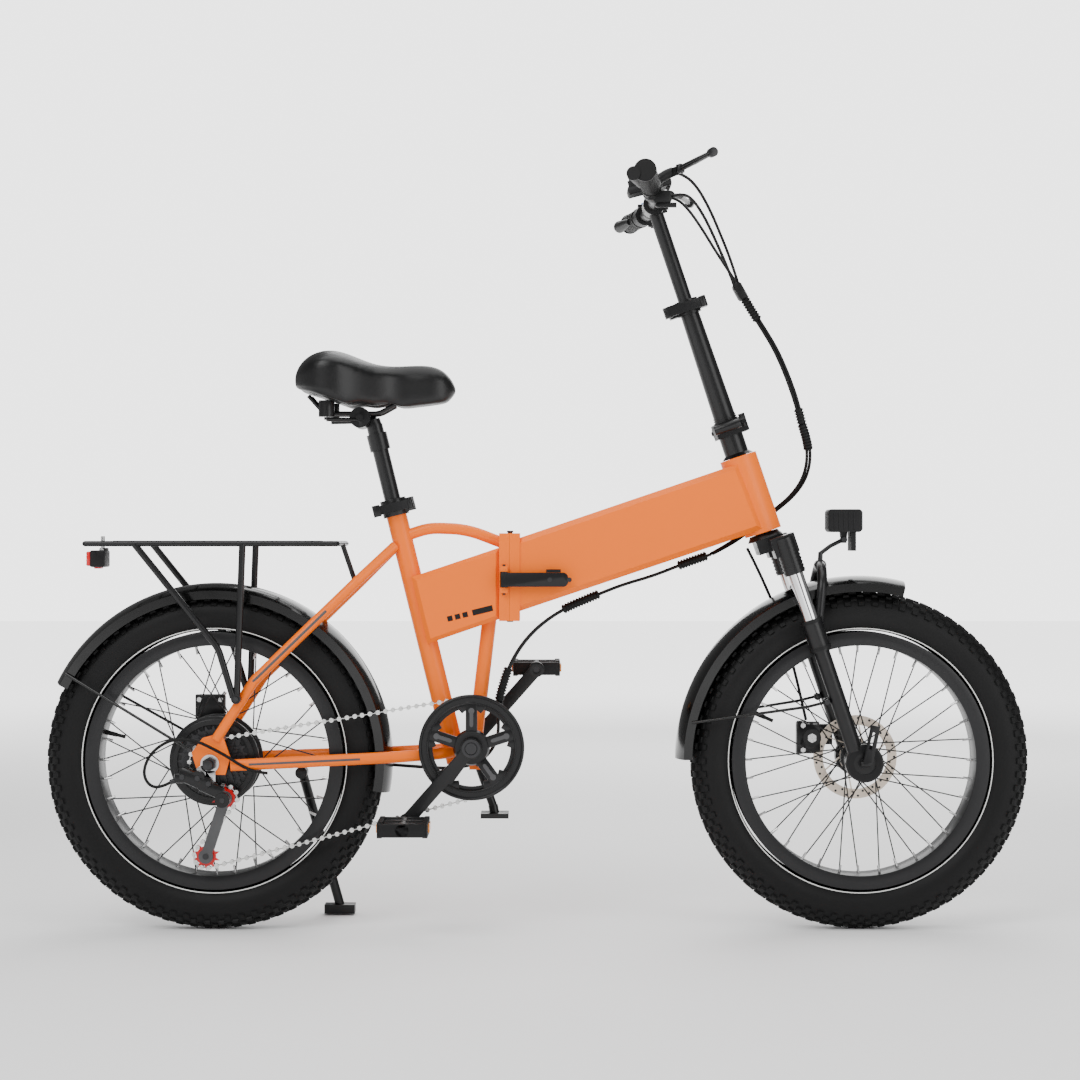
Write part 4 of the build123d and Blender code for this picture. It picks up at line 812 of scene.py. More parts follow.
        piece(bm, name + "_pedal_axle", name + "_pedal", DARK_STEEL)
        bm = bmesh.new()
        for way in (-1, 1):
            centre = Vector((eye.x + way * 0.0412, middle_y, eye.z))
            brick(bm, centre, (0.003, 0.044, 0.013), None, 0.0008)
        piece(bm, name + "_pedal_reflectors", name + "_pedal", AMBER)

    def pulleys(self) -> None:
        """The two toothed jockey wheels with their centre bolts."""
        for node, (x, z) in (("guide_pulley", GUIDE_PULLEY), ("tension_pulley", TENSION_PULLEY)):
            bm = bmesh.new()
            toothed(bm, x, z, CHAIN_Y, 10, 0.004)
            made = piece(bm, node + "_wheel", node, RED)
            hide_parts(node)
            bm = bmesh.new()
            rod(bm, (x, CHAIN_Y - 0.0095, z), (x, CHAIN_Y - 0.0070, z), 0.0050, 0.0046, 20)
            piece(bm, node + "_bolt", "derailleur_cage", DARK_STEEL)


# ---------------------------------------------------------------- saddle
@dataclass
class Saddle:
    """The padded saddle and the head of its post.

    Args:
        voxel: grain of the remeshed cushion
        smooth_rounds: rounds of softening
        slice_length: length of one slice when its width is measured
        crown: how far the outer edge of the top drops
    """

    voxel: float = 0.004
    smooth_rounds: int = 26
    slice_length: float = 0.012
    crown: float = 0.020

    def build(self) -> None:
        """Round the plain solid into a padded saddle."""
        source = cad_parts["saddle"]
        bm = bmesh.new()
        bm.from_mesh(source.data)
        bmesh.ops.remove_doubles(bm, verts=bm.verts, dist=SAME_PLACE)
        made = piece(bm, "saddle_cushion", "seat", SADDLE_SKIN, 180.0)
        remesh = made.modifiers.new("remesh", "REMESH")
        remesh.mode = "VOXEL"
        remesh.voxel_size = self.voxel
        remesh.use_smooth_shade = True
        soften = made.modifiers.new("soften", "SMOOTH")
        soften.factor = 0.5
        soften.iterations = self.smooth_rounds
        ready = bpy.data.meshes.new_from_object(made.evaluated_get(bpy.context.evaluated_depsgraph_get()))
        made.modifiers.clear()
        made.data = ready
        self.sculpt(made)
        ready.shade_smooth()
        made.data.materials.clear()
        made.data.materials.append(SADDLE_SKIN.material())
        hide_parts("saddle")
        self.post_head()

    def post_head(self) -> None:
        """The head of the seatpost, which carries the rail clamp, and its bolt."""
        bm = bmesh.new()
        rod(bm, (-0.2690, 0.0, 0.8270), (-0.2745, 0.0, 0.8430), 0.0134, 0.0128, 36)
        rod(bm, (-0.2700, 0.0, 0.8390), (-0.2930, 0.0, 0.8450), 0.0120, 0.0120, 36)
        rod(bm, (-0.2930, -0.0360, 0.8460), (-0.2930, 0.0360, 0.8460), 0.0062, 0.0062, 6)
        piece(bm, "seatpost_head", "seat", SATIN_BLACK)

    def sculpt(self, made: bpy.types.Object) -> None:
        """Round the cushion's shoulders, flatten its skirt and press in the centre channel.

        Args:
            made: the cushion
        """
        widths: dict[int, float] = {}
        for vert in made.data.vertices:
            key = round(vert.co.x / self.slice_length)
            widths[key] = max(widths.get(key, 0.001), abs(vert.co.y))
        for vert in made.data.vertices:
            x, y, z = vert.co
            place = x / self.slice_length
            low, share = math.floor(place), place - math.floor(place)
            narrow = widths.get(low, widths.get(low + 1, 0.001))
            wide = widths.get(low + 1, narrow)
            outward = min(1.0, abs(y) / (narrow + (wide - narrow) * share))
            vert.co.z -= self.crown * outward**3 * max(0.0, min(1.0, (z - 0.885) / 0.05))
            if z < 0.90:
                outward = max(0.0, min(1.0, (abs(y) - 0.026) / 0.008))
                vert.co.z -= 0.012 * outward * math.exp(-(((x + 0.268) / 0.034) ** 2))
                continue
            along = max(0.0, min(1.0, (-0.16 - x) / 0.20))
            channel = math.exp(-((y / 0.011) ** 2)) * 0.0035 * math.sin(math.pi * along)
            vert.co.z -= max(0.0, channel)


# ---------------------------------------------------------------- cables
@dataclass
class Cable:
    """A cable or a bundle of cables along one route.

    Args:
        name: the cable's name
        node: the CAD node that it stands for
        body: the body that it rides on
        radius: radius of one strand
        route: points that guide it, millimetres
        strands: each strand's shift ahead and to the left
        sleeves: where each ribbed sleeve starts and stops, shares of the length
        rib_step: distance between two ribs of a sleeve
    """

    name: str
    node: str
    body: str
    radius: float
    route: tuple[tuple[float, float, float], ...]
    strands: tuple[tuple[float, float], ...] = ((0.0, 0.0),)
    sleeves: tuple[tuple[float, float], ...] = ()
    rib_step: float = 0.0050

    def curve(self, name: str, shift: Vector, radius: float) -> bpy.types.Object:
        """One smooth strand.

        Args:
            name: the object's name
            shift: how far it lies from the route
            radius: its radius, 0 for a bare line

        Returns:
            the curve object
        """
        data = bpy.data.curves.new(name, "CURVE")
        data.dimensions = "3D"
        data.bevel_depth = radius
        data.bevel_resolution = 4
        data.use_fill_caps = True
        spline = data.splines.new("NURBS")
        spline.points.add(len(self.route) - 1)
        last = len(self.route) - 1
        for index, (point, where) in enumerate(zip(spline.points, self.route)):
            ease = 1.0 if 0 < index < last else 0.6
            point.co = (*(Vector(where) / 1000.0 + shift * ease), 1.0)
        spline.order_u = 3
        spline.use_endpoint_u = True
        spline.resolution_u = 8
        made = bpy.data.objects.new(name, data)
        bpy.context.scene.collection.objects.link(made)
        return made

    def build(self, stand_in: bool) -> None:
        """Make the strands and their ribbed sleeves.

        Args:
            stand_in: whether this cable replaces its CAD node
        """
        made = None
        for number, (ahead, left) in enumerate(self.strands):
            name = f"{self.name}_{number}" if len(self.strands) > 1 else self.name
            made = self.curve(name, Vector((ahead, left, 0.0)), self.radius)
            made.data.materials.append(SOFT_RUBBER.material())
            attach(made, self.body)
        if stand_in and made is not None:
            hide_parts(self.node)
        for number, (start, stop) in enumerate(self.sleeves):
            self.sleeve(number, start, stop)
        log.info("made cable %s", self.name)

    def sleeve(self, number: int, start: float, stop: float) -> None:
        """A ribbed sleeve between two shares of the route.

        Args:
            number: counts the sleeves of this cable
            start: where it begins, 0 to 1
            stop: where it ends, 0 to 1
        """
        line = self.curve("route", Vector(), 0.0)
        bpy.context.view_layer.update()
        mesh = bpy.data.meshes.new_from_object(line.evaluated_get(bpy.context.evaluated_depsgraph_get()))
        points = [v.co.copy() for v in mesh.vertices]
        bpy.data.objects.remove(line)
        total = sum((b - a).length for a, b in zip(points, points[1:]))
        bm = bmesh.new()
        travelled, ribs = 0.0, 0
        for a, b in zip(points, points[1:]):
            length = (b - a).length
            while True:
                place = start * total + ribs * self.rib_step
                if place >= travelled + length or place > stop * total:
                    break
                centre = a.lerp(b, max(0.0, min(1.0, (place - travelled) / length)))
                way = (b - a).normalized()
                rod(bm, centre - way * 0.0027, centre + way * 0.0027, 0.0062, 0.0062, 16)
                rod(bm, centre - way * 0.0013, centre + way * 0.0013, 0.0078, 0.0078, 16)
                ribs += 1
            travelled += length
        piece(bm, f"{self.name}_sleeve_{number}", self.body, SOFT_RUBBER)


CABLES = (
    Cable("right_brake_cable", "bar_cables", "handlebar", 0.0025,
          ((219, -127.6, 1234), (238, -111, 1232), (260, -93, 1214), (282, -71, 1180), (302, -48, 1140),
           (320, -32, 1100), (334, -22, 1058))),
    Cable("left_brake_cable", "bar_cables", "handlebar", 0.0025,
          ((219, 127.6, 1234), (237, 111, 1229), (256, 88, 1207), (277, 60, 1170), (299, 30, 1126),
           (320, 4, 1088), (336, -12, 1058))),
    Cable("gear_cable", "bar_cables", "handlebar", 0.0025,
          ((213.4, -160, 1190), (231, -147, 1197), (250, -119, 1192), (273, -88, 1164), (296, -60, 1122),
           (314, -43, 1086), (326, -34, 1056))),
    Cable("post_cable", "post_cables", "handlepost", 0.0026,
          ((334, -22, 1056), (348, -26, 1030), (368, -30, 998), (392, -34, 958), (412, -34, 912),
           (428, -32, 866), (436, -30, 834)), ((-0.0028, 0.0), (0.0028, 0.001)), ((0.02, 0.23), (0.90, 1.0))),
    Cable("head_cable", "head_cables", "fork_steerer", 0.0026,
          ((436.2, -29.8, 832.6), (446, -23, 806), (450, -6, 774), (444, 15, 744), (427, 33, 718),
           (402, 44, 696), (374, 48, 675), (346, 44, 653), (318, 29, 635), (290, 8, 621)),
          ((-0.0028, 0.0), (0.0028, 0.001)), ((0.0, 0.13),)),
    Cable("front_brake_hose", "head_cables", "fork_steerer", 0.0025,
          ((351, 31, 630), (363, 38, 608), (378, 46, 578), (397, 52, 536), (414, 54, 490), (428, 54, 442),
           (440, 51, 394), (451, 44, 341.2))),
    Cable("beam_cable", "beam_cables", "front_frame", 0.0026,
          ((287.3, 7, 619.9), (240, 4, 604), (190, 2, 584), (140, 0, 570), (88, -4, 549), (38, -10, 528),
           (-4, -17, 498), (-34, -22, 462), (-54, -25, 420), (-64, -24, 378)),
          ((0.0, -0.0028), (0.0016, 0.0028)), ((0.02, 0.13), (0.44, 0.58), (0.88, 1.0))),
    Cable("stay_cable", "stay_cables", "rear_frame", 0.0026,
          ((-64.5, -23, 376), (-65, -14, 350), (-65, 6, 322), (-75, 23, 293), (-100, 29, 270),
           (-142, 33, 261), (-192, 46, 262), (-248, 60, 265)),
          ((0.0, -0.0028), (0.0, 0.0028)), ((0.0, 0.06),)),
    Cable("gear_cable_loop", "stay_cables", "rear_frame", 0.0025,
          ((-440, -70, 264), (-462, -76, 267), (-482, -82, 278), (-502, -87, 292), (-525, -89, 305),
           (-549, -90, 317), (-577, -91, 322), (-599, -91, 318), (-621, -90, 304), (-635, -89, 284),
           (-639, -88, 262), (-629, -87, 245), (-612, -86, 242), (-595, -86, 251))),
)


# ---------------------------------------------------------------- brakes and gear changer
@dataclass
class Calipers:
    """The two disc brake calipers.

    Args:
        front_z: height of the front caliper's middle
        rear_x: the rear caliper's middle along the bicycle
        rear_z: its height
        screw_r: radius of a bolt head
    """

    front_z: float = 0.3120
    rear_x: float = -0.5500
    rear_z: float = 0.3640
    screw_r: float = 0.0044

    def build(self) -> None:
        """Make both calipers, with pistons, bolts and cable arms."""
        self.front()
        self.rear()

    def front(self) -> None:
        """The caliper behind the left fork leg."""
        bm = bmesh.new()
        brick(bm, (0.4560, 0.0368, self.front_z), (0.0360, 0.0066, 0.0480), None, 0.0024)
        brick(bm, (0.4540, 0.0470, self.front_z), (0.0400, 0.0060, 0.0540), None, 0.0024)
        brick(bm, (0.4430, 0.0415, self.front_z), (0.0180, 0.0160, 0.0520), None, 0.0030)
        rod(bm, (0.4600, 0.0332, self.front_z), (0.4600, 0.0390, self.front_z), 0.0150, 0.0158, 32)
        brick(bm, (0.4390, 0.0380, 0.3340), (0.0090, 0.0090, 0.0140), None, 0.0018)
        made = piece(bm, "front_caliper_body", "fork_lowers", SATIN_BLACK)
        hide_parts("front_brake_caliper")
        bm = bmesh.new()
        for z in (0.2920, 0.3330):
            rod(bm, (0.4450, 0.0331, z), (0.4450, 0.0350, z), self.screw_r, self.screw_r, 6)
        rod(bm, (0.4600, 0.0326, self.front_z), (0.4600, 0.0340, self.front_z), 0.0080, 0.0072, 6)
        rod(bm, (0.4410, 0.0440, 0.3360), (0.4470, 0.0440, 0.3405), 0.0036, 0.0030, 16)
        piece(bm, "front_caliper_bolts", "fork_lowers", SILVER)

    def rear(self) -> None:
        """The caliper above the left end of the rear axle."""
        bm = bmesh.new()
        brick(bm, (self.rear_x, 0.0430, self.rear_z), (0.0500, 0.0058, 0.0420), None, 0.0022)
        brick(bm, (self.rear_x, 0.0590, self.rear_z), (0.0480, 0.0130, 0.0400), None, 0.0040)
        brick(bm, (self.rear_x, 0.0530, 0.3715), (0.0440, 0.0250, 0.0250), None, 0.0040)
        brick(bm, (-0.5545, 0.0680, 0.3270), (0.0140, 0.0180, 0.0380), None, 0.0016)
        rod(bm, (self.rear_x, 0.0640, self.rear_z), (self.rear_x, 0.0672, self.rear_z), 0.0165, 0.0150, 32)
        made = piece(bm, "rear_caliper_body", "rear_frame", SATIN_BLACK)
        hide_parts("rear_brake_caliper")
        bm = bmesh.new()
        for x in (-0.5680, -0.5320):
            rod(bm, (x, 0.0400, 0.3760), (x, 0.0392, 0.3760), self.screw_r, self.screw_r, 6)
        rod(bm, (self.rear_x, 0.0670, self.rear_z), (self.rear_x, 0.0684, self.rear_z), 0.0085, 0.0078, 6)
        rod(bm, (-0.5300, 0.0560, 0.3820), (-0.5260, 0.0560, 0.3880), 0.0034, 0.0030, 16)
        piece(bm, "rear_caliper_bolts", "rear_frame", SILVER)


@dataclass
class GearChanger:
    """The rear derailleur: its bright hanger and the dark linkage below.

    Args:
        hanger_y: middle of the hanger plate
        linkage_y: middle of the linkage
        pivot: the hanger's pivot, ahead and up
    """

    hanger_y: float = -0.0777
    linkage_y: float = -0.0858
    pivot: tuple[float, float] = (-0.5510, 0.2580)

    def build(self) -> None:
        """Make the hanger, the linkage body and its bolts."""
        bm = bmesh.new()
        y = self.hanger_y
        spun(bm, band(0.0078, 0.0150, y - 0.0014, y + 0.0014), -AXLE_X, AXLE_Z, 48)
        slant = Matrix.Rotation(math.radians(56), 4, "Y")
        brick(bm, (-0.5425, y, 0.2640), (0.0280, 0.0028, 0.0130), slant, 0.0010)
        brick(bm, (-0.5320, y, 0.2600), (0.0170, 0.0028, 0.0200), None, 0.0012)
        x, z = self.pivot
        rod(bm, (x, y - 0.0015, z), (x, y + 0.0015, z), 0.0105, 0.0105, 32)
        made = piece(bm, "derailleur_hanger", "rear_frame", SILVER)
        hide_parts("derailleur_body")
        bm = bmesh.new()
        middle_y = self.linkage_y
        lean = Matrix.Rotation(math.radians(24), 4, "Y")
        brick(bm, (-0.5560, middle_y, 0.2555), (0.0560, 0.0125, 0.0240), lean, 0.0050)
        brick(bm, (-0.5290, middle_y, 0.2400), (0.0420, 0.0110, 0.0210), lean, 0.0048)
        brick(bm, (-0.5800, middle_y, 0.2580), (0.0190, 0.0120, 0.0170), None, 0.0040)
        for x, z, radius in ((*self.pivot, 0.0115), (*GUIDE_PULLEY, 0.0120)):
            rod(bm, (x, -0.0920, z), (x, -0.0795, z), radius, radius, 36)
        piece(bm, "derailleur_linkage", "rear_frame", SATIN_BLACK)
        bm = bmesh.new()
        for x, z in (self.pivot, GUIDE_PULLEY, (-0.5760, 0.2600), (-0.5330, 0.2490)):
            rod(bm, (x, -0.0934, z), (x, -0.0910, z), 0.0046, 0.0050, 6)
        rod(bm, (-0.5960, -0.0860, 0.2510), (-0.5860, -0.0860, 0.2540), 0.0040, 0.0046, 18)
        piece(bm, "derailleur_bolts", "rear_frame", DARK_STEEL)


# ---------------------------------------------------------------- frame and fork details
@dataclass
class FrameDetails:
    """Stripes, small marks and bolts on the two halves of the frame.

    Args:
        stay_r: radius of a seat stay
        stripe_r: radius of its stripe
        chainstay_r: radius of a chain stay
        low_stripe_r: radius of its stripe
        proud: how far a stripe stands out
    """

    stay_r: float = 0.0085
    stripe_r: float = 0.0040
    chainstay_r: float = 0.0070
    low_stripe_r: float = 0.0036
    proud: float = 0.0004

    def build(self) -> None:
        """Make the stripes, marks and bolts."""
        self.stripes()
        self.marks()
        self.bolts()

    def stripes(self) -> None:
        """The dark stripes on the outside of the seat and chain stays."""
        bm = bmesh.new()
        for side in (-1, 1):
            out = side * (self.stay_r - self.stripe_r + self.proud)
            start = Vector((-0.4640, side * 0.0641 + out, 0.4128))
            end = Vector((-0.3450, side * 0.0575 + out, 0.5284))
            rod(bm, start, end, self.stripe_r)
            out = side * (self.chainstay_r - self.low_stripe_r + self.proud)
            start = Vector((-0.4700, side * 0.0704 + out, 0.2787))
            end = Vector((-0.2900, side * 0.0549 + out, 0.2858))
            rod(bm, start, end, self.low_stripe_r)
        piece(bm, "stay_stripes", "rear_frame", STRIPE_GREY)

    def marks(self) -> None:
        """The small squares and the bar on each side of the rear box."""
        bm = bmesh.new()
        tilt = Matrix.Rotation(-math.radians(14), 4, "Y")
        for side in (-1, 1):
            y = side * 0.0381
            for number in range(3):
                x = -0.1440 + number * 0.0125
                brick(bm, (x, y, 0.5150 + number * 0.0031), (0.0085, 0.0006, 0.0085), tilt)
            brick(bm, (-0.0905, y, 0.5283), (0.034, 0.0006, 0.0095), tilt)
        piece(bm, "box_marks", "rear_frame", MATT_PLASTIC)

    def bolts(self) -> None:
        """Bolt heads at the rack's feet, the stands and the hinge pin."""
        bm = bmesh.new()
        for side in (-1, 1):
            for x, z, y, radius in ((-0.489, 0.386, 0.0912, 0.0048), (-AXLE_X, AXLE_Z, 0.0908, 0.0068),
                                    (-0.566, 0.303, 0.0812, 0.0040)):
                start = Vector((x, side * (y - 0.002), z))
                rod(bm, start, start + LEFT * side * 0.0050, radius, radius * 0.92, 6)
        for z in (0.5078, 0.6582):
            rod(bm, (-0.0463, 0.046, z - 0.0015), (-0.0463, 0.046, z + 0.0015), 0.0062, 0.0062, 6)
        piece(bm, "frame_bolts", "rear_frame", DARK_STEEL)
        bm = bmesh.new()
        for x in (0.020, 0.052):
            rod(bm, (x, -0.0590, 0.579), (x, -0.0575, 0.579), 0.0040, 0.0036, 20)
        piece(bm, "latch_rivets", "frame_latch", DARK_STEEL)


@dataclass
class ForkDetails:
    """Bright stanchions, ribbed caps and fork ends.

    Args:
        leg_y: a leg's centre line, from the middle
        leg_ahead: its place ahead of the steering axis
        stanchion_r: radius of a bright tube
        rings: number of rings under the crown
        ring_step: distance between two rings
        ring_r: radius of a ring
    """

    leg_y: float = 0.064
    leg_ahead: float = 0.022
    stanchion_r: float = 0.01262
    rings: int = 9
    ring_step: float = 0.0062
    ring_r: float = 0.0180

    def build(self) -> None:
        """Make the stanchion tubes, caps and end covers."""
        bm = bmesh.new()
        for side in (-1, 1):
            y = side * self.leg_y
            low, high = steer(-0.300, self.leg_ahead, y), steer(-0.204, self.leg_ahead, y)
            rod(bm, low, high, self.stanchion_r, self.stanchion_r, 40)
        piece(bm, "stanchion_tubes", "fork_steerer", CHROME)
        bm = bmesh.new()
        for side in (-1, 1):
            y = side * self.leg_y
            for number in range(self.rings):
                at = -0.208 + number * self.ring_step
                low, high = steer(at, self.leg_ahead, y), steer(at + 0.0030, self.leg_ahead, y)
                rod(bm, low, high, self.ring_r, self.ring_r, 40)
        piece(bm, "crown_rings", "fork_steerer", SATIN_BLACK)
        bm = bmesh.new()
        for side in (-1, 1):
            y = side * self.leg_y
            for at, radius in ((-0.296, 0.0182), (-0.342, 0.0180)):
                low, high = steer(at, self.leg_ahead, y), steer(at + 0.006, self.leg_ahead, y)
                rod(bm, low, high, radius, radius, 40)
            low, high = sorted((side * 0.0725, side * 0.0748))
            spun(bm, band(0.018, 0.028, low, high), AXLE_X, AXLE_Z, 64)
        piece(bm, "lower_seals", "fork_lowers", MATT_PLASTIC)
        bm = bmesh.new()
        for side in (-1, 1):
            centre = Vector((0.472, side * 0.0712, 0.380))
            rod(bm, centre - LEFT * side * 0.004, centre + LEFT * side * 0.002, 0.0050, 0.0046, 6)
        piece(bm, "fork_bolts", "fork_lowers", DARK_STEEL)


@dataclass
class Cockpit:
    """Grips, screen, levers' hardware and the handlepost's collar.

    Args:
        grip_start: where the ribs of a grip begin, from the middle
        grip_ribs: number of ribs
        rib_step: distance between two ribs
        rib_r: radius over a rib
        lever_y: the levers' clamps, from the middle
        display_tilt: the display's tilt, degrees
        display_shift: the display's middle, from the bar's
    """

    grip_start: float = 0.178
    grip_ribs: int = 22
    rib_step: float = 0.0048
    rib_r: float = 0.0166
    lever_y: float = 0.138
    display_tilt: float = -14.0
    display_shift: tuple[float, float, float] = (-0.004, 0.062, 0.040)

    def build(self) -> None:
        """Make every added piece of the cockpit."""
        self.ribs()
        self.screen()
        self.lever_bolts()
        self.post()
        self.clamps()
        self.display()

    def ribs(self) -> None:
        """The ribs and the end rings of both grips."""
        bm = bmesh.new()
        for side in (-1, 1):
            for number in range(self.grip_ribs):
                y = self.grip_start + number * self.rib_step
                a, b = on_bar(side * y), on_bar(side * (y + self.rib_step / 2))
                rod(bm, a, b, self.rib_r, self.rib_r, 32)
            for y in (0.1722, 0.2890):
                rod(bm, on_bar(side * y), on_bar(side * (y + 0.0048)), 0.0176, 0.0176, 32)
        piece(bm, "grip_ribs", "handlebar", SOFT_RUBBER)

    def screen(self) -> None:
        """The display's screen."""
        bm = bmesh.new()
        tilt = Matrix.Rotation(math.radians(self.display_tilt), 4, "Y")
        centre = BAR_CENTRE + Vector(self.display_shift)
        brick(bm, centre + Vector((-0.0018, 0.0, 0.0072)), (0.056, 0.034, 0.001), tilt, 0.0004)
        piece(bm, "display_screen", "handlebar", SCREEN)

    def lever_bolts(self) -> None:
        """The pivot bolt of each brake lever."""
        bm = bmesh.new()
        for side in (-1, 1):
            pivot = on_bar(side * self.lever_y) + Vector((0.044, side * 0.0037, 0.035))
            rod(bm, pivot - Vector((0.0, 0.0, 0.0075)), pivot + Vector((0.0, 0.0, 0.0075)), 0.0036, 0.0036, 6)
        piece(bm, "lever_pivot_bolts", "handlebar", DARK_STEEL)

    def post(self) -> None:
        """The handlepost's rings and the boot that gathers the cables."""
        bm = bmesh.new()
        for number in range(3):
            at = 0.0505 + number * 0.0035
            rod(bm, steer(at + 0.012), steer(at + 0.014), 0.0205 - number * 0.0006, 0.0, 40)
        piece(bm, "handlepost_rings", "handlepost", SATIN_BLACK)
        bm = bmesh.new()
        brick(bm, (0.3335, -0.0225, 1.0540), (0.0150, 0.0340, 0.0300),
              Matrix.Rotation(math.radians(-28), 4, "Y"), 0.0050)
        piece(bm, "cable_boot", "handlepost", SOFT_RUBBER)

    def clamps(self) -> None:
        """The handlebar clamp's bolts, the lever clamps and the cable adjusters."""
        bm = bmesh.new()
        for y in (-0.015, 0.015):
            for rise in (-0.012, 0.012):
                start = BAR_CENTRE + AHEAD * 0.0120 + UP * rise + LEFT * y
                rod(bm, start, start + AHEAD * 0.0085, 0.0036, 0.0036, 6)
        for side in (-1, 1):
            centre = on_bar(side * self.lever_y)
            brick(bm, centre + Vector((0.0140, 0.0, -0.0120)), (0.0160, 0.0150, 0.0140), None, 0.0022)
            head = centre + Vector((0.0140, 0.0, -0.0180))
            rod(bm, head, head - Vector((0.0, 0.0, 0.0030)), 0.0036, 0.0036, 6)
            cuff = Vector((0.2120, side * 0.1310, 1.2350))
            way = Vector((0.0190, -side * 0.0150, -0.0020)).normalized()
            rod(bm, cuff, cuff + way * 0.0120, 0.0056, 0.0042, 16)
            rod(bm, cuff + way * 0.0030, cuff + way * 0.0070, 0.0066, 0.0066, 12)
        brick(bm, (0.1983, -0.160, 1.1890), (0.0290, 0.0170, 0.0205), None, 0.0040)
        brick(bm, (0.1830, -0.160, 1.1960), (0.0160, 0.0170, 0.0260), None, 0.0040)
        piece(bm, "bar_clamps", "handlebar", MATT_PLASTIC)

    def display(self) -> None:
        """The display's case, its raised hood and its keys."""
        tilt = Matrix.Rotation(math.radians(self.display_tilt), 4, "Y")
        centre = BAR_CENTRE + Vector(self.display_shift)
        bm = bmesh.new()
        brick(bm, centre, (0.0750, 0.0470, 0.0120), tilt, 0.0030)
        brick(bm, centre + Vector((-0.0240, 0.0, 0.0165)), (0.0240, 0.0400, 0.0040),
              Matrix.Rotation(math.radians(18), 4, "Y"), 0.0012)
        for y in (-0.0185, 0.0185):
            brick(bm, centre + Vector((-0.0230, y, 0.0080)), (0.0230, 0.0032, 0.0180), tilt, 0.0010)
        for number in range(3):
            rod(bm, centre + Vector((0.0310, -0.0120 + 0.0120 * number, -0.0020)),
                centre + Vector((0.0330, -0.0120 + 0.0120 * number, 0.0010)), 0.0036, 0.0032, 16)
        piece(bm, "display_case", "handlebar", MATT_PLASTIC)


@dataclass
class Lights:
    """The headlight's lens, fins and foot, and the rear light.

    Args:
        lamp_z: height of the headlight's middle
        fin_step: distance between two fins
        rear_z: height of the rear light's middle
        bracket_x: the rear light's bracket along the bicycle
    """

    lamp_z: float = 0.676
    fin_step: float = 0.008
    rear_z: float = 0.6130
    bracket_x: float = -0.7220

    def build(self) -> None:
        """Make both lights' added pieces."""
        bm = bmesh.new()
        brick(bm, (0.5362, 0.0, self.lamp_z), (0.0022, 0.042, 0.030), None, 0.0008)
        piece(bm, "headlight_lens", "headlight", LENS)
        bm = bmesh.new()
        for number in range(5):
            centre = (0.490 + self.fin_step * number, 0.0, self.lamp_z)
            brick(bm, centre, (0.0022, 0.0495, 0.030), None, 0.0005)
        piece(bm, "headlight_fins", "headlight", MATT_PLASTIC)
        bm = bmesh.new()
        rod(bm, (0.4692, 0.0, 0.6080), (0.4700, 0.0, 0.6240), 0.0042, 0.0040, 16)
        rod(bm, (0.4692, -0.0070, 0.6020), (0.4692, 0.0070, 0.6020), 0.0098, 0.0098, 32)
        rod(bm, (0.5080, -0.0110, 0.6450), (0.5080, 0.0110, 0.6450), 0.0046, 0.0046, 6)
        piece(bm, "headlight_foot", "fork_lowers", DARK_STEEL)
        bm = bmesh.new()
        brick(bm, (-0.7270, 0.0, self.rear_z), (0.0250, 0.0480, 0.0280), None, 0.0030)
        brick(bm, (-0.7200, 0.0, 0.6270), (0.0120, 0.0200, 0.0080), None, 0.0015)
        case = piece(bm, "rear_light_case", "rear_frame", MATT_PLASTIC)
        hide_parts("tail_light")
        bm = bmesh.new()
        brick(bm, (-0.7415, 0.0, self.rear_z), (0.0080, 0.0440, 0.0240), None, 0.0022)
        for number in range(4):
            brick(bm, (-0.7448, 0.0, 0.6040 + number * 0.0060), (0.0022, 0.0400, 0.0030), None, 0.0006)
        brick(bm, (-0.7290, 0.0, 0.5985), (0.0110, 0.0240, 0.0040), None, 0.0012)
        piece(bm, "rear_light_lens", "rear_frame", RED)
        bm = bmesh.new()
        rod(bm, (self.bracket_x, 0.0, 0.6250), (self.bracket_x, 0.0, 0.6505), 0.0034, 0.0034, 16)
        rod(bm, (self.bracket_x, -0.0130, 0.6265), (self.bracket_x, 0.0130, 0.6265), 0.0042, 0.0042, 6)
        piece(bm, "rear_light_bracket", "rear_frame", SILVER)


def dress_nodes() -> None:
    """Give every CAD node that stays visible its finish."""
    plan = {
        ORANGE: (("rear_frame", 0.0), ("front_frame", 0.0)),
        SATIN_BLACK: (("seatpost", 0.0), ("seat_collar", 0.0008), ("seat_lever", 0.001), ("crankset", 0.001),
                      ("fork_crown", 0.0), ("fork_lowers", 0.0), ("frame_latch", 0.001), ("handlebar", 0.0),
                      ("handlepost", 0.0), ("post_latch", 0.001), ("post_lever", 0.001), ("kickstand", 0.001),
                      ("left_brake_lever", 0.0008), ("right_brake_lever", 0.0008), ("rear_hub_motor", 0.001),
                      ("support_stand", 0.001), ("front_hub", 0.0008), ("rear_spokes", 0.0),
                      ("front_spokes", 0.0), ("rear_rack", 0.0), ("saddle_rails", 0.0),
                      ("front_lever", 0.0008)),
        RIM_BLACK: (("rear_rim", 0.0006), ("front_rim", 0.0006)),
        GLOSS_BLACK: (("rear_fender", 0.0), ("front_fender", 0.0)),
        MATT_PLASTIC: (("bar_controls", 0.0), ("battery_and_controller", 0.0), ("headlight", 0.001),
                       ("latch_catch", 0.0005), ("shift_lever", 0.001)),
        SOFT_RUBBER: (("grips", 0.0),),
        DARK_STEEL: (("frame_hinge_pin", 0.0), ("bottom_bracket", 0.0005), ("rear_axle", 0.0005)),
        GREY_METAL: (("derailleur_cage", 0.0004),),
        BLUE: (("horn_button", 0.0006),),
    }
    for finish, nodes in plan.items():
        for node, edge in nodes:
            dress(node, finish, edge)


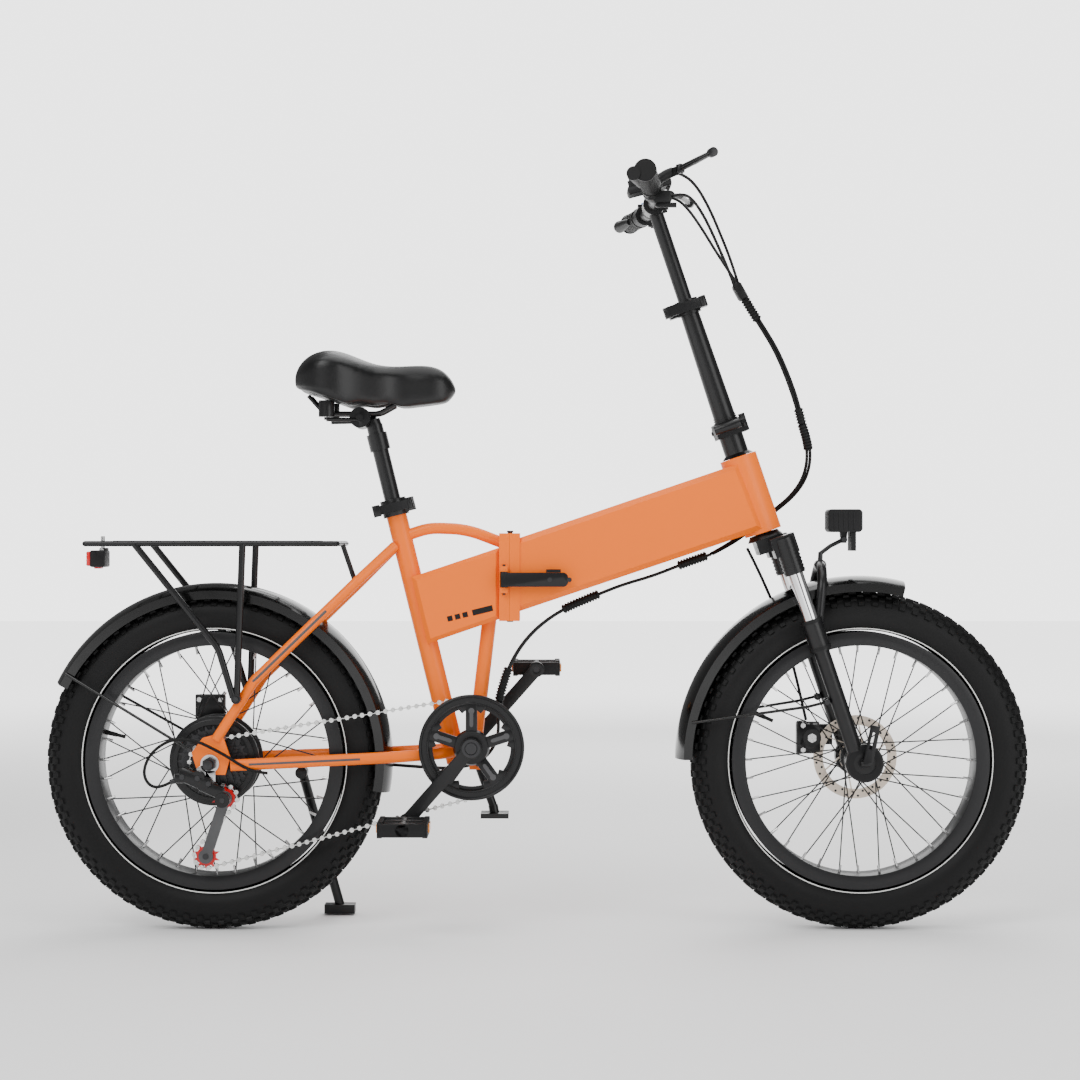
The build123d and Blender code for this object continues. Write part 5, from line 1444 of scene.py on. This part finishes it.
@dataclass
class Studio:
    """The floor, the soft lights and the camera.

    Args:
        camera_far: distance of the camera to the right
        camera_x: the camera's place along the bicycle
        camera_z: its height
        lens: its focal length, millimetres
        ambient: strength of the even light from all round
        mirrored: strength of the surroundings in polished surfaces
        backdrop: strength of the wall behind
        fade_start: where the floor starts to brighten, from its middle
        fade_end: where the floor is as bright as the wall
        floor_half: half of the floor's side
    """

    camera_far: float = 3.702
    camera_x: float = 0.004
    camera_z: float = 0.644
    lens: float = 74.3
    ambient: float = 0.66
    mirrored: float = 0.22
    backdrop: float = 3.2
    fade_start: float = 1.6
    fade_end: float = 6.0
    floor_half: float = 14.0

    def light(self, name: str, place: tuple[float, float, float], size: float, power: float) -> None:
        """One square area light that faces the middle of the bicycle.

        Args:
            name: the light's name
            place: where it stands
            size: length of its side
            power: its power in watts
        """
        data = bpy.data.lights.new(name, "AREA")
        data.size = size
        data.energy = power
        made = bpy.data.objects.new(name, data)
        made.location = place
        aim = Vector((0.0, 0.0, 0.55)) - Vector(place)
        made.rotation_euler = aim.to_track_quat("-Z", "Y").to_euler()
        bpy.context.scene.collection.objects.link(made)

    def faded(self, material: bpy.types.Material) -> bpy.types.Material:
        """Let the floor melt into the backdrop far from the middle.

        Args:
            material: the floor's material

        Returns:
            the same material
        """
        nodes, links = material.node_tree.nodes, material.node_tree.links
        place = nodes.new("ShaderNodeTexCoord")
        far = nodes.new("ShaderNodeVectorMath")
        far.operation = "LENGTH"
        fade = nodes.new("ShaderNodeMapRange")
        fade.interpolation_type = "SMOOTHSTEP"
        fade.inputs["From Min"].default_value = self.fade_start
        fade.inputs["From Max"].default_value = self.fade_end
        fade.inputs["To Min"].default_value = 0.0
        fade.inputs["To Max"].default_value = self.backdrop - 1.1
        links.new(place.outputs["Object"], far.inputs[0])
        links.new(far.outputs["Value"], fade.inputs["Value"])
        shader = nodes["Principled BSDF"]
        shader.inputs["Emission Color"].default_value = (1.0, 1.0, 1.0, 1.0)
        links.new(fade.outputs["Result"], shader.inputs["Emission Strength"])
        return material

    def build(self) -> None:
        """Make the floor, lights, world and camera."""
        self.floor()
        self.light("key", (-1.6, -2.6, 2.9), 2.2, 95.0)
        self.light("fill", (2.4, -2.4, 1.6), 2.0, 45.0)
        self.light("top", (0.2, 0.2, 3.4), 3.0, 75.0)
        self.light("back", (0.6, 2.8, 2.0), 2.4, 60.0)
        self.world()
        self.camera()

    def floor(self) -> None:
        """The plain pale floor."""
        bm = bmesh.new()
        bmesh.ops.create_grid(bm, x_segments=8, y_segments=8, size=self.floor_half)
        mesh = bpy.data.meshes.new("floor")
        bm.to_mesh(mesh)
        bm.free()
        mesh.materials.append(self.faded(FLOOR.material()))
        floor = bpy.data.objects.new("floor", mesh)
        bpy.context.scene.collection.objects.link(floor)

    def world(self) -> None:
        """The even light from all round, dimmer in mirrors and brighter behind."""
        world = bpy.data.worlds.new("studio")
        world.use_nodes = True
        nodes, links = world.node_tree.nodes, world.node_tree.links
        nodes["Background"].inputs["Color"].default_value = (1.0, 1.0, 1.0, 1.0)
        seen = nodes.new("ShaderNodeLightPath")
        mirrored = nodes.new("ShaderNodeMath")
        mirrored.operation = "MULTIPLY_ADD"
        mirrored.inputs[1].default_value = self.mirrored - self.ambient
        mirrored.inputs[2].default_value = self.ambient
        level = nodes.new("ShaderNodeMath")
        level.operation = "MULTIPLY_ADD"
        level.inputs[1].default_value = self.backdrop - self.ambient
        links.new(seen.outputs["Is Glossy Ray"], mirrored.inputs[0])
        links.new(mirrored.outputs[0], level.inputs[2])
        links.new(seen.outputs["Is Camera Ray"], level.inputs[0])
        links.new(level.outputs[0], nodes["Background"].inputs["Strength"])
        bpy.context.scene.world = world

    def camera(self) -> None:
        """The camera, level and square to the bicycle's right side."""
        data = bpy.data.cameras.new("camera")
        data.lens = self.lens
        data.sensor_width = 36.0
        camera = bpy.data.objects.new("camera", data)
        camera.location = (self.camera_x, -self.camera_far, self.camera_z)
        camera.rotation_euler = (math.pi / 2, 0.0, 0.0)
        bpy.context.scene.collection.objects.link(camera)
        bpy.context.scene.camera = camera


def main() -> None:
    """Build the whole scene in order."""
    logging.basicConfig(level=logging.INFO)
    Studio().build()
    dress_nodes()
    Wheel("rear", -AXLE_X, "rear_wheel", 0.048).build()
    Wheel("front", AXLE_X, "front_wheel", 0.042).build()
    Motor().build()
    Drivetrain().build()
    Saddle().build()
    seen: set[str] = set()
    for cable in CABLES:
        cable.build(cable.node not in seen)
        seen.add(cable.node)
    Calipers().build()
    GearChanger().build()
    FrameDetails().build()
    ForkDetails().build()
    Cockpit().build()
    Lights().build()


if __name__ == "__main__":
    main()
